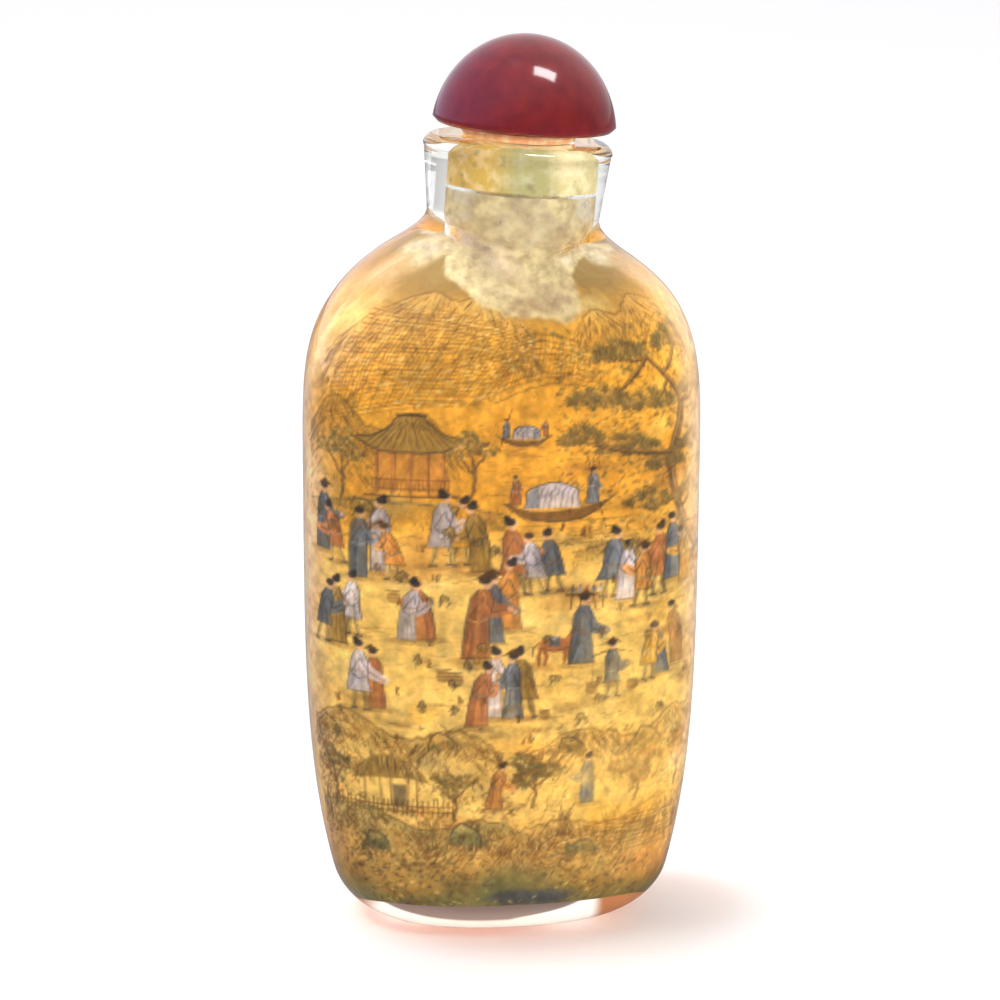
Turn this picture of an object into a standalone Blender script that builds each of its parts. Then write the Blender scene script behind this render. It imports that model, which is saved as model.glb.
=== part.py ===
"""A small flattened glass snuff bottle, hollow, with a short leaning neck and a domed stopper.

The bottle is one hollow glass solid. The stopper is three solids stuck together: a domed cap, the thin
collar under it, and the plug that fits the bore. X is across the bottle, Y is its depth, and +Z is up.
The origin is on the table, under the middle of the body.
"""

import math

import bmesh
import bpy
from mathutils import Matrix, Vector

# The outside of the body, in metres
BODY_WIDTH = 0.0350
BODY_DEPTH = 0.0222
BODY_HEIGHT = 0.0620  # from the table to the root of the neck
WIDEST_HEIGHT = 0.0398
SHOULDER_OVERRUN = 0.0030  # how far above the neck's root the shoulder's curve would close
SIDE_TAPER = 0.0037  # how far each side draws in from the widest level down to the foot
FACE_TAPER = 0.0004  # the same for the front and back faces
SQUARENESS = 2.6  # exponent of the body's oval section, 2 being an ellipse

# The foot
FOOT_INSET = 0.0048  # how far the body's rounded lower edge turns in
FOOT_RISE = 0.0044  # height of that rounded edge
FOOT_RIM = 0.0022  # width of the flat rim that the bottle stands on
FOOT_RECESS = 0.0007  # depth of the shallow hollow inside that rim

# The neck and its bore
NECK_HEIGHT = 0.0080
NECK_ROOT_DIAMETER = 0.0147
NECK_RIM_DIAMETER = 0.0165
NECK_FILLET = 0.0030  # softness of the corner between shoulder and neck
BORE_DIAMETER = 0.0085
BORE_OFFSET = 0.0004  # the bore runs a little to the right of the neck's axis
RIM_ROUNDING = 0.0011
MOUTH_ROUNDING = 0.0004

# The hand-made neck leans to the right
NECK_LEAN = math.radians(3.9)
LEAN_PIVOT_DEPTH = 0.0120  # the point that it leans about, below the root of the neck
LEAN_BEND = 0.0066  # height of the bend, which ends at the root of the neck

# The glass
WALL = 0.0021
SHOULDER_WALL = 0.0042
FLOOR = 0.0020
CAVITY_ROUNDING = 0.0034  # height over which the cavity's floor curves up into its walls

# The stopper
CAP_DIAMETER = 0.0159
CAP_HEIGHT = 0.0079
CAP_TURN = math.radians(82)  # how far its curve turns from crown to edge, a half ball being 90
CAP_CHAMFER = 0.0004
CAP_OFFSET = 0.0004  # the cap is stuck on a little to the right of the collar
COLLAR_DIAMETER = 0.0100
COLLAR_THICKNESS = 0.0005
COLLAR_EDGE = 0.0001
PLUG_DEPTH = 0.0043
PLUG_TAPER = 0.0002  # how much narrower the plug's radius is at its lower end
PLUG_EDGE = 0.0002

# Clearances
SEAT_GAP = 0.0003  # between pieces that rest on each other
PLUG_CLEARANCE = 0.0003  # between the plug and the bore, on each side

# Curve shapes
SHOULDER_POWER = 4.5
TAPER_POWER = 3.85
CAVITY_SQUARENESS = 3.2

# Facets
SEGMENTS = 56
FOOT_STEPS = 5
SIDE_LEVELS = 10
SHOULDER_LEVELS = 13
NECK_LEVELS = 4
CAVITY_WALL_LEVELS = 8
FLOOR_STEPS = 6
EDGE_STEPS = 3
CAP_SEGMENTS = 48
CAP_STEPS = 12
MERGE = 0.00001

NECK_TOP = BODY_HEIGHT + NECK_HEIGHT


def clear_scene():
    """Removes what the startup scene holds."""
    for obj in list(bpy.data.objects):
        bpy.data.objects.remove(obj, do_unlink=True)


def material(name, colour, roughness, transmission=0.0):
    """A Principled material with plain values."""
    made = bpy.data.materials.new(name)
    made.use_nodes = True
    shader = made.node_tree.nodes["Principled BSDF"]
    shader.inputs["Base Color"].default_value = (*colour, 1.0)
    shader.inputs["Roughness"].default_value = roughness
    shader.inputs["Metallic"].default_value = 0.0
    shader.inputs["Transmission Weight"].default_value = transmission
    made.diffuse_color = (*colour, 1.0)
    return made


def smooth_max(a, b, softness):
    """The larger of two sizes, with a rounded change from one to the other where they come near."""
    nearness = max(softness - abs(a - b), 0.0) / softness
    return max(a, b) + nearness * nearness * softness / 4


def spaced(start, end, count):
    """Evenly spaced values from start to end, both included."""
    return [start + (end - start) * i / (count - 1) for i in range(count)]


def shoulder_share(z, apex):
    """The share of the body's full width and depth above its widest level, closing at the apex."""
    rise = (z - WIDEST_HEIGHT) / (apex - WIDEST_HEIGHT)
    return 1 - min(max(rise, 0.0), 1.0) ** SHOULDER_POWER


def lower_half(z, half_size, taper):
    """Half of the body's width or depth from the table to its widest level."""
    drop = max((WIDEST_HEIGHT - z) / WIDEST_HEIGHT, 0.0)
    return half_size - taper * drop**TAPER_POWER


def neck_radius(z):
    """The neck flares a little from its root to its rim."""
    share = max((z - BODY_HEIGHT) / NECK_HEIGHT, 0.0)
    return (NECK_ROOT_DIAMETER + (NECK_RIM_DIAMETER - NECK_ROOT_DIAMETER) * share) / 2


def body_halves(z, wall, shoulder_wall):
    """Half width and half depth of the body's own form at a height, drawn in by its walls."""
    width, depth = BODY_WIDTH / 2 - wall, BODY_DEPTH / 2 - wall
    if z > WIDEST_HEIGHT:
        share = shoulder_share(z, BODY_HEIGHT + SHOULDER_OVERRUN - shoulder_wall)
        return width * share, depth * share
    return lower_half(z, width, SIDE_TAPER), lower_half(z, depth, FACE_TAPER)


def section(z, wall, shoulder_wall, round_radius):
    """Half width, half depth and exponent of the outside or the cavity at a height."""
    width, depth = body_halves(z, wall, shoulder_wall)
    if z > WIDEST_HEIGHT:
        width = smooth_max(round_radius, width, NECK_FILLET)
        depth = smooth_max(round_radius, depth, NECK_FILLET)
    # The section is round where the neck or the bore is, and squarer as the body widens
    widening = (width - round_radius) / (BODY_WIDTH / 2 - round_radius)
    return width, depth, 2 + (SQUARENESS - 2) * min(max(widening, 0.0), 1.0)


def outer_section(z):
    """Half width, half depth and exponent of the outside at a height."""
    return section(z, 0.0, 0.0, neck_radius(z))


def inner_section(z):
    """Half width, half depth and exponent of the cavity and the bore at a height."""
    return section(z, WALL, SHOULDER_WALL, BORE_DIAMETER / 2)


def floor_section(turn):
    """Height, half width, half depth and exponent of the cavity's rounded floor, for a quarter turn."""
    z = FLOOR + CAVITY_ROUNDING * (1 - math.cos(turn) ** (2 / CAVITY_SQUARENESS))
    width, depth, exponent = inner_section(z)
    share = math.sin(turn) ** (2 / CAVITY_SQUARENESS)
    return z, width * share, depth * share, exponent


def bend_share(z):
    """How far the neck's bend has come at a height, from 0 below it to 1 at the neck's root."""
    share = min(max((z - BODY_HEIGHT) / LEAN_BEND + 1, 0.0), 1.0)
    return share * share * (3 - 2 * share)


def leaned(point):
    """Turns a point about the pivot by as much as the neck leans at its height."""
    angle = NECK_LEAN * bend_share(point.z)
    pivot = Vector((0.0, 0.0, BODY_HEIGHT - LEAN_PIVOT_DEPTH))
    return Matrix.Rotation(angle, 3, "Y") @ (point - pivot) + pivot


def ring(z, half_width, half_depth, exponent=2.0, offset=0.0):
    """The points of one oval section at a height, leaned as the bottle is there."""
    points = []
    for step in range(SEGMENTS):
        turn = math.tau * step / SEGMENTS
        across, deep = math.cos(turn), math.sin(turn)
        x = math.copysign(abs(across) ** (2 / exponent), across) * half_width + offset
        y = math.copysign(abs(deep) ** (2 / exponent), deep) * half_depth
        points.append(leaned(Vector((x, y, z))))
    return points


def underside_rings():
    """From the recess under the foot, over the flat rim, and round the body's lower edge."""
    width, depth, exponent = outer_section(FOOT_RISE)
    inset = FOOT_INSET + FOOT_RIM
    rings = [
        ring(FOOT_RECESS, width - inset - FOOT_RECESS, depth - inset - FOOT_RECESS, exponent),
        ring(0.0, width - inset, depth - inset, exponent),
    ]
    for turn in spaced(0.0, math.pi / 2, FOOT_STEPS + 1):
        z = FOOT_RISE * (1 - math.cos(turn))
        inset = FOOT_INSET * (1 - math.sin(turn))
        width, depth, exponent = outer_section(z)
        rings.append(ring(z, width - inset, depth - inset, exponent))
    return rings


def outer_rings():
    """The outer wall, the shoulder and the neck, up to the start of the rim's rounding."""
    levels = spaced(FOOT_RISE, WIDEST_HEIGHT, SIDE_LEVELS)[1:]
    climb = BODY_HEIGHT - WIDEST_HEIGHT
    turns = spaced(0.0, math.pi / 2, SHOULDER_LEVELS)[1:]
    levels += [WIDEST_HEIGHT + climb * math.sin(turn) for turn in turns]
    levels += spaced(BODY_HEIGHT, NECK_TOP - RIM_ROUNDING, NECK_LEVELS)[1:]
    return [ring(z, *outer_section(z)) for z in levels]


def mouth_rings():
    """Over the rounded rim and down into the bore."""
    outside = neck_radius(NECK_TOP)
    inside = BORE_DIAMETER / 2
    rings = []
    for turn in spaced(0.0, math.pi / 2, EDGE_STEPS + 1)[1:]:
        radius = outside - RIM_ROUNDING * (1 - math.cos(turn))
        rings.append(ring(NECK_TOP - RIM_ROUNDING * (1 - math.sin(turn)), radius, radius))
    for turn in spaced(0.0, math.pi / 2, EDGE_STEPS + 1):
        radius = inside + MOUTH_ROUNDING * (1 - math.sin(turn))
        z = NECK_TOP - MOUTH_ROUNDING * (1 - math.cos(turn))
        rings.append(ring(z, radius, radius, offset=BORE_OFFSET))
    return rings


def cavity_rings():
    """Down the bore, out along the underside of the shoulder, and down the walls to the floor."""
    levels = spaced(NECK_TOP - MOUTH_ROUNDING, BODY_HEIGHT, NECK_LEVELS)[1:]
    climb = BODY_HEIGHT - WALL - WIDEST_HEIGHT
    turns = spaced(math.pi / 2, 0.0, SHOULDER_LEVELS)
    levels += [WIDEST_HEIGHT + climb * math.sin(turn) for turn in turns]
    levels += spaced(WIDEST_HEIGHT, FLOOR + CAVITY_ROUNDING, CAVITY_WALL_LEVELS)[1:]
    rings = [ring(z, *inner_section(z), offset=BORE_OFFSET * bend_share(z)) for z in levels]
    for turn in spaced(math.pi / 2, 0.0, FLOOR_STEPS + 1)[1:-1]:
        rings.append(ring(*floor_section(turn)))
    return rings


def loft(name, rings, first_pole, last_pole, finish):
    """One closed solid through unlike sections, closed at each end by a point."""
    bm = bmesh.new()
    rows = [[bm.verts.new(point) for point in points] for points in rings]
    for lower, upper in zip(rows, rows[1:]):
        for step in range(SEGMENTS):
            following = (step + 1) % SEGMENTS
            bm.faces.new((lower[step], lower[following], upper[following], upper[step]))
    for pole, row, order in ((first_pole, rows[0], -1), (last_pole, rows[-1], 1)):
        centre = bm.verts.new(pole)
        for step in range(SEGMENTS):
            edge = (row[step], row[(step + 1) % SEGMENTS])
            bm.faces.new((centre, *edge[::order]))
    mesh = bpy.data.meshes.new(name)
    bm.to_mesh(mesh)
    bm.free()
    return add_object(name, mesh, finish)


def add_object(name, mesh, finish):
    """Shades a mesh smooth up to its sharp edges and puts it in the bottle's collection."""
    mesh.materials.append(finish)
    mesh.shade_smooth()
    mesh.set_sharp_from_angle(angle=math.radians(35))
    obj = bpy.data.objects.new(name, mesh)
    bottle_parts.objects.link(obj)
    return obj


def make_bottle():
    """The hollow glass bottle."""
    rings = underside_rings() + outer_rings() + mouth_rings() + cavity_rings()
    recess_centre = leaned(Vector((0.0, 0.0, FOOT_RECESS)))
    floor_centre = leaned(Vector((0.0, 0.0, FLOOR)))
    glass = material("clear_glass", (0.93, 0.95, 0.93), 0.02, transmission=1.0)
    return loft("bottle", rings, recess_centre, floor_centre, glass)


def make_neck_axis():
    """An empty on the rim, turned with the neck, that carries the stopper."""
    axis = bpy.data.objects.new("neck_axis", None)
    bottle_parts.objects.link(axis)
    axis.location = leaned(Vector((0.0, 0.0, NECK_TOP)))
    axis.rotation_euler = (0.0, NECK_LEAN, 0.0)
    return axis


def bevel(obj, width):
    """Rounds an object's sharp edges."""
    modifier = obj.modifiers.new("edge", "BEVEL")
    modifier.width = width
    modifier.segments = 2
    modifier.limit_method = "ANGLE"
    modifier.angle_limit = math.radians(50)


def make_plug(axis):
    """The slightly tapered plug that fills the top of the bore."""
    radius = BORE_DIAMETER / 2 - PLUG_CLEARANCE
    top = -SEAT_GAP
    bm = bmesh.new()
    bmesh.ops.create_cone(
        bm,
        cap_ends=True,
        segments=SEGMENTS,
        radius1=radius - PLUG_TAPER,
        radius2=radius,
        depth=PLUG_DEPTH + top,
    )
    mesh = bpy.data.meshes.new("stopper_plug")
    bm.to_mesh(mesh)
    bm.free()
    plug = add_object("stopper_plug", mesh, material("pale_plug", (0.62, 0.58, 0.26), 0.45))
    plug.parent = axis
    plug.location = (BORE_OFFSET, 0.0, (top - PLUG_DEPTH) / 2)
    bevel(plug, PLUG_EDGE)


def make_collar(axis):
    """The thin disc between the cap and the rim."""
    bm = bmesh.new()
    bmesh.ops.create_cone(
        bm,
        cap_ends=True,
        segments=CAP_SEGMENTS,
        radius1=COLLAR_DIAMETER / 2,
        radius2=COLLAR_DIAMETER / 2,
        depth=COLLAR_THICKNESS,
    )
    mesh = bpy.data.meshes.new("stopper_collar")
    bm.to_mesh(mesh)
    bm.free()
    collar = add_object("stopper_collar", mesh, material("peach_collar", (0.80, 0.45, 0.25), 0.4))
    collar.parent = axis
    collar.location = (0.0, 0.0, SEAT_GAP + COLLAR_THICKNESS / 2)
    bevel(collar, COLLAR_EDGE)


def make_cap(axis):
    """The domed red cap: a turned profile from its crown down to its flat underside."""
    radius = CAP_DIAMETER / 2
    across = radius / math.sin(CAP_TURN)
    tall = (CAP_HEIGHT - CAP_CHAMFER) / (1 - math.cos(CAP_TURN))
    profile = [
        (across * math.sin(turn), CAP_HEIGHT - tall * (1 - math.cos(turn)))
        for turn in spaced(0.0, CAP_TURN, CAP_STEPS)
    ]
    profile += [(radius - CAP_CHAMFER, 0.0), (0.0, 0.0)]
    mesh = bpy.data.meshes.new("stopper_cap")
    bm = bmesh.new()
    points = [bm.verts.new((x, 0.0, z)) for x, z in profile]
    for start, end in zip(points, points[1:]):
        bm.edges.new((start, end))
    bm.to_mesh(mesh)
    bm.free()
    cap = add_object("stopper_cap", mesh, material("red_stone", (0.36, 0.02, 0.03), 0.08))
    screw = cap.modifiers.new("turned", "SCREW")
    screw.steps = CAP_SEGMENTS
    screw.render_steps = CAP_SEGMENTS
    screw.use_merge_vertices = True
    screw.merge_threshold = MERGE
    screw.use_smooth_shade = True
    cap.parent = axis
    cap.location = (CAP_OFFSET, 0.0, SEAT_GAP + COLLAR_THICKNESS + SEAT_GAP)


clear_scene()
bottle_parts = bpy.data.collections.new("snuff_bottle")
bpy.context.scene.collection.children.link(bottle_parts)
make_bottle()
neck_axis = make_neck_axis()
make_plug(neck_axis)
make_collar(neck_axis)
make_cap(neck_axis)
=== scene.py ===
"""A glass snuff bottle, painted on its inner wall, with a domed red stopper, on a white table.

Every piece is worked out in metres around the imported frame. The painting is drawn with brush strokes on a
grid that lies against the inner wall, in millimetres across and up.
"""

import math

import bmesh
import bpy
import numpy as np
from bpy.props import FloatProperty, FloatVectorProperty, IntProperty, PointerProperty
from mathutils import Matrix, Vector


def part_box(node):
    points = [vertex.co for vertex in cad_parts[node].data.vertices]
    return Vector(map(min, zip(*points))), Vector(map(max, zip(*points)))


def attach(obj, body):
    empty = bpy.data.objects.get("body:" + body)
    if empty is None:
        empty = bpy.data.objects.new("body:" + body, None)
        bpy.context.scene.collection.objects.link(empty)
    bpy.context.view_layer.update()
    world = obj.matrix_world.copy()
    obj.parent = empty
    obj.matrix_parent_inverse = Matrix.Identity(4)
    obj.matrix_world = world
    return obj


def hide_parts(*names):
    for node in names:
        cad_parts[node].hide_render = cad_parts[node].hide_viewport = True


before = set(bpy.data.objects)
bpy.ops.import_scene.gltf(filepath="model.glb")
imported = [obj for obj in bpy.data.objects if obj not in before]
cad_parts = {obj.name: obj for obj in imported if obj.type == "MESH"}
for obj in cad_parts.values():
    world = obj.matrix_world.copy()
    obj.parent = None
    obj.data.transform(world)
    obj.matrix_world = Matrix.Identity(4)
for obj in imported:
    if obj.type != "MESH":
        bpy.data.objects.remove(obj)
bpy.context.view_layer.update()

bl_info = {
    "name": "Painted Snuff Bottle",
    "version": (1, 0, 0),
    "blender": (4, 5, 0),
    "location": "View3D > Sidebar > Snuff Bottle",
    "description": "Dresses the packed frame of a glass snuff bottle that is painted inside",
    "category": "Object",
}

BODY = "root"
MILLIMETRE = 0.001
BOTTLE_LOW, BOTTLE_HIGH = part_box("bottle")

# The bottle's outside, in metres, as in the frame
BODY_WIDTH = 0.0350
BODY_DEPTH = BOTTLE_HIGH[1] - BOTTLE_LOW[1]
BODY_HEIGHT = 0.0620
WIDEST_HEIGHT = 0.0398
SHOULDER_OVERRUN = 0.0030
SIDE_TAPER = 0.0037
FACE_TAPER = 0.0004
SQUARENESS = 2.6
SHOULDER_POWER = 4.5
TAPER_POWER = 3.85
FOOT_INSET = 0.0048
FOOT_RISE = 0.0044
FOOT_RIM = 0.0022
FOOT_RECESS = 0.0007
RECESS_SLOPE = 0.0012  # width of the soft step from the flat rim up into the recess

# The neck, its bore and its lean
NECK_HEIGHT = 0.0080
NECK_TOP = BODY_HEIGHT + NECK_HEIGHT
NECK_ROOT_DIAMETER = 0.0147
NECK_RIM_DIAMETER = 0.0165
NECK_FILLET = 0.0030
BORE_RADIUS = 0.00425
RIM_ROUNDING = 0.0011
MOUTH_ROUNDING = 0.0004
NECK_LEAN = math.radians(3.9)
LEAN_PIVOT = BODY_HEIGHT - 0.0120
LEAN_BEND = 0.0066

# The glass
WALL = 0.0021
SHOULDER_WALL = 0.0042
FLOOR = 0.0020
CAVITY_ROUNDING = 0.0034
CAVITY_SQUARENESS = 3.2
BORE_OFFSET = 0.0004  # the bore is a little to the right of the neck's axis
FILM_DEPTH = 0.00005  # the paint and the glue are wetted to the glass, so they lie just inside its skin

# The stopper
CAP_RADIUS = 0.00795
CAP_HEIGHT = 0.0079
CAP_TURN = math.radians(82)
CAP_CHAMFER = 0.0004
CAP_OFFSET = 0.0004
CAP_SEAT = 0.0011
COLLAR_RADIUS = 0.0050
PLUG_DEPTH = 0.0043
PLUG_MIDDLE = 0.0016  # where the plug's axis is in the leaning neck, across the bottle
PLUG_EDGE = 0.0005
TOUCH = 0.00002  # what is left between pieces that are stuck together

WELD = 0.000002  # points nearer than this become one
AROUND = 256  # faces round the bottle
FILM_START = math.radians(60)  # where the paint ends on the floor's rounded edge
RING_SAMPLES = 721  # points that measure the way round the wall
MAP_MARGIN = 0.002  # bare rim of a panel's flat map


def length(name, description, default):
    """A size in metres that the sidebar shows."""
    return FloatProperty(name=name, description=description, default=default, precision=5, unit="LENGTH")


def amount(name, description, default):
    """A plain number that the sidebar shows."""
    return FloatProperty(name=name, description=description, default=default)


def tone(name, description, red, green, blue):
    """A colour that the sidebar shows, given as it looks on a screen."""
    default = (red / 255, green / 255, blue / 255)
    return FloatVectorProperty(
        name=name, description=description, default=default, min=0.0, max=1.0, size=3, subtype="COLOR_GAMMA"
    )


class GlassSettings(bpy.types.PropertyGroup):
    """Looks of the clear glass."""

    tint: tone("Tint", "Colour of the clear glass", 250, 252, 248)
    refraction: FloatProperty(name="Refraction", description="Index of refraction", default=1.5, min=1.0)
    frost: tone("Frost", "Colour of the frosted floor", 255, 254, 250)
    # Painted shade: the grey lens along the front of the floor
    foot_painted_shade: tone("Foot, grey", "Greyer lens along the front of the floor", 112, 94, 88)
    # Paint on the floor's ends, and at the right also a painted reflection of the paint
    foot_paint_and_reflection: tone("Foot, painted", "Paint at both ends of the floor", 172, 108, 60)
    foot_clear: tone("Foot, underside", "Light that passes through the underside", 245, 242, 237)
    foot_shadow: tone("Foot, shadow", "Light that passes through the floor", 186, 118, 58)
    ground_light: tone("Ground wall, light", "Colour of the clean ground inner wall", 244, 238, 222)
    ground_dark: tone("Ground wall, dark", "Colour of the stains on the ground inner wall", 170, 158, 132)
    ground_mottle: length("Stain size", "Size of the stains on the ground inner wall", 0.0011)


class PaintSettings(bpy.types.PropertyGroup):
    """Palette and fineness of the painting."""

    cell: length("Brush cell", "Distance between neighbouring points of colour", 0.000165)
    seed: IntProperty(name="Seed", description="Start of the random draws of the brush", default=7)
    gold: tone("Gold", "Amber ground of the picture", 238, 168, 54)
    pale: tone("Pale", "Mist and sky", 230, 202, 132)
    # Peach is painted light: the paler edges where the glass curves away
    peach: tone("Peach", "Warm edges of the picture", 255, 214, 168)
    straw: tone("Straw", "Tan of the far slopes", 222, 172, 88)
    sand: tone("Sand", "Light strokes and dry ground", 244, 200, 106)
    earth: tone("Earth", "Orange-brown ground", 196, 128, 58)
    olive: tone("Olive", "Leaves and banks", 150, 116, 52)
    moss: tone("Moss", "Dark green near the floor", 108, 106, 62)
    umber: tone("Umber", "Brown lines", 118, 80, 38)
    ink: tone("Ink", "Darkest lines and hair", 58, 50, 46)
    russet: tone("Russet", "Red-brown robes and posts", 186, 112, 60)
    slate: tone("Slate", "Blue-grey robes", 98, 106, 118)
    lilac: tone("Lilac", "Pale robes and awnings", 206, 192, 194)
    skin: tone("Skin", "Faces and hands", 226, 172, 122)
    glow: tone("Glow", "Light that passes through the paint", 232, 168, 112)
    bloom: tone("Bloom", "Thin film in the throat", 252, 234, 176)
    stain: tone("Stain", "Stains in the throat", 192, 168, 122)


class StopperSettings(bpy.types.PropertyGroup):
    """Looks of the stopper."""

    cap_deep: tone("Cap, deep", "Darker red in the cap", 110, 22, 28)
    cap_light: tone("Cap, light", "Lighter red in the cap", 128, 30, 31)
    collar: tone("Collar", "Thin disc between the cap and the rim", 236, 160, 104)
    plug_gold: tone("Plug, golden", "Golden side of the plug", 232, 190, 84)
    plug_green: tone("Plug, green", "Grey-green middle of the plug", 188, 178, 118)
    plug_cream: tone("Plug, cream", "Cream side of the plug", 240, 222, 156)
    plug_dark: tone("Plug, dark", "Dark specks in the glue", 140, 124, 84)


class StageSettings(bpy.types.PropertyGroup):
    """The table, the lamps and the camera."""

    floor_width: length("Table width", "Width of the white table top", 6.0)
    key_power: amount("Key lamp", "Power of the soft lamp overhead, in watts", 1.3)
    side_power: amount("Side lamp", "Power of the lamp at the right, in watts", 0.4)
    front_power: amount("Front lamp", "Power of the lamp by the camera, in watts", 2.5)
    top_power: amount("Top lamp", "Power of the lamp above, a little to the left", 1.9)
    foot_power: amount("Foot lamp", "Power of the lamp that only lights the glass", 0.55)
    table_power: amount("Table lamp", "Power of the lamp behind, over the table", 6.4)
    air: amount("White air", "Strength of the white light from all sides", 0.56)
    room: tone("Room", "Colour of the room that the glass reflects", 232, 228, 232)
    left_room: tone("Room, left", "Bluer colour of the room at the left", 205, 200, 255)
    sky: amount("Room light", "Strength of the dim side of the room", 0.35)
    lens: amount("Lens", "Focal length in millimetres", 121.4)
    distance: length("Camera distance", "From the bottle's axis, level with the table", 0.29)
    height: length("Camera height", "Above the table", 0.111)


def smooth_max(a, b, softness):
    """The larger of two sizes, with a rounded change from one to the other where they come near."""
    nearness = np.maximum(softness - np.abs(a - b), 0.0) / softness
    return np.maximum(a, b) + nearness * nearness * softness / 4


def smooth_step(share):
    """A soft ramp from 0 to 1."""
    share = np.clip(share, 0.0, 1.0)
    return share * share * (3 - 2 * share)


def neck_radius(z):
    """The neck flares a little from its root to its rim."""
    share = np.maximum((z - BODY_HEIGHT) / NECK_HEIGHT, 0.0)
    return (NECK_ROOT_DIAMETER + (NECK_RIM_DIAMETER - NECK_ROOT_DIAMETER) * share) / 2


def section(z, wall, shoulder_wall, round_radius):
    """Half width, half depth and exponent at each height, drawn in by the walls."""
    apex = BODY_HEIGHT + SHOULDER_OVERRUN - shoulder_wall
    shoulder = 1 - np.clip((z - WIDEST_HEIGHT) / (apex - WIDEST_HEIGHT), 0.0, 1.0) ** SHOULDER_POWER
    taper = np.maximum((WIDEST_HEIGHT - z) / WIDEST_HEIGHT, 0.0) ** TAPER_POWER
    width = smooth_max(round_radius, (BODY_WIDTH / 2 - wall) * shoulder - SIDE_TAPER * taper, NECK_FILLET)
    depth = smooth_max(round_radius, (BODY_DEPTH / 2 - wall) * shoulder - FACE_TAPER * taper, NECK_FILLET)
    widening = np.clip((width - round_radius) / (BODY_WIDTH / 2 - round_radius), 0.0, 1.0)
    return np.array([z, width, depth, 2 + (SQUARENESS - 2) * widening])


def outside(z, inset=0.0):
    """Rows of the outside at the given heights."""
    rows = section(z, 0.0, 0.0, neck_radius(z))
    rows[1:3] -= inset
    return np.vstack([rows, np.zeros(z.shape)])


def inside(z, sunk=0.0):
    """Rows of the cavity and the bore at the given heights, sunk into the glass by a little."""
    rows = section(z, WALL - sunk, SHOULDER_WALL - sunk, BORE_RADIUS + sunk)
    return np.vstack([rows, bore_shift(z)])


def bore_shift(z):
    """How far the cavity's middle has moved towards the bore's axis at each height."""
    return BORE_OFFSET * smooth_step((z - BODY_HEIGHT) / LEAN_BEND + 1)


def inside_floor(turn, sunk=0.0):
    """Rows of the cavity's rounded floor: the turn is a quarter at the wall and 0 at the middle."""
    z = FLOOR - sunk + CAVITY_ROUNDING * (1 - np.cos(turn) ** (2 / CAVITY_SQUARENESS))
    rows = inside(z, sunk)
    rows[1:3] *= np.sin(turn) ** (2 / CAVITY_SQUARENESS)
    return rows


def round_rows(z, radius, shift=0.0):
    """Rows of circles at the given heights."""
    return np.array([z, radius, radius, np.full(z.shape, 2.0), np.broadcast_to(shift, z.shape)])


def leaned(points):
    """Turns points about the pivot by as much as the neck leans at their height."""
    x, y, z = points.T
    angle = NECK_LEAN * smooth_step((z - BODY_HEIGHT) / LEAN_BEND + 1)
    up = z - LEAN_PIVOT
    turned = (x * np.cos(angle) + up * np.sin(angle), y, LEAN_PIVOT - x * np.sin(angle) + up * np.cos(angle))
    return np.stack(turned, -1)


def ring_points(rows, turn):
    """Points at a turn round the oval sections that the rows give."""
    z, width, depth, exponent, shift = rows
    across, deep = np.cos(turn), np.sin(turn)
    x = np.sign(across) * np.abs(across) ** (2 / exponent) * width + shift
    y = np.sign(deep) * np.abs(deep) ** (2 / exponent) * depth
    return leaned(np.stack([x, y, z], -1))


def finished(bm, mesh):
    """Writes a working mesh into the given mesh, or a new one by that name, and frees it."""
    if isinstance(mesh, str):
        mesh = bpy.data.meshes.new(mesh)
    bm.to_mesh(mesh)
    bm.free()
    return mesh


def weld(bm):
    """Closes the seams and poles of a working mesh and turns its faces outwards."""
    bmesh.ops.remove_doubles(bm, verts=bm.verts, dist=WELD)
    bmesh.ops.recalc_face_normals(bm, faces=bm.faces)


def corner_points(mesh):
    """The number of the point at each corner of each face."""
    corner = np.empty(len(mesh.loops), int)
    mesh.loops.foreach_get("vertex_index", corner)
    return corner


def grid_mesh(name, columns, rows):
    """A flat grid of quads as a mesh, with the column and the row of each of its points."""
    bm = bmesh.new()
    bmesh.ops.create_grid(bm, x_segments=columns, y_segments=rows, size=1.0)
    mesh = finished(bm, name)
    flat = np.empty(len(mesh.vertices) * 3)
    mesh.vertices.foreach_get("co", flat)
    place = (flat.reshape(-1, 3) + 1) / 2
    column = np.rint(place[:, 0] * columns).astype(int)
    row = np.rint(place[:, 1] * rows).astype(int)
    return mesh, column, row


def add_piece(name, mesh, materials, slot, *nodes):
    """Links a piece, gives it its materials and ties it to the frame."""
    for made in materials:
        mesh.materials.append(made)
    mesh.shade_smooth()
    piece = bpy.data.objects.new(name, mesh)
    bpy.context.scene.collection.objects.link(piece)
    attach(piece, BODY)
    if nodes:
        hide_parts(*nodes)


def linear(colour):
    """A screen colour as the linear values that shaders take."""
    colour = np.asarray(colour, float)
    return np.where(colour <= 0.04045, colour / 12.92, ((colour + 0.055) / 1.055) ** 2.4)


def rgba(colour):
    """A screen colour as a shader socket's value."""
    return (*linear(colour), 1.0)


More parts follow.
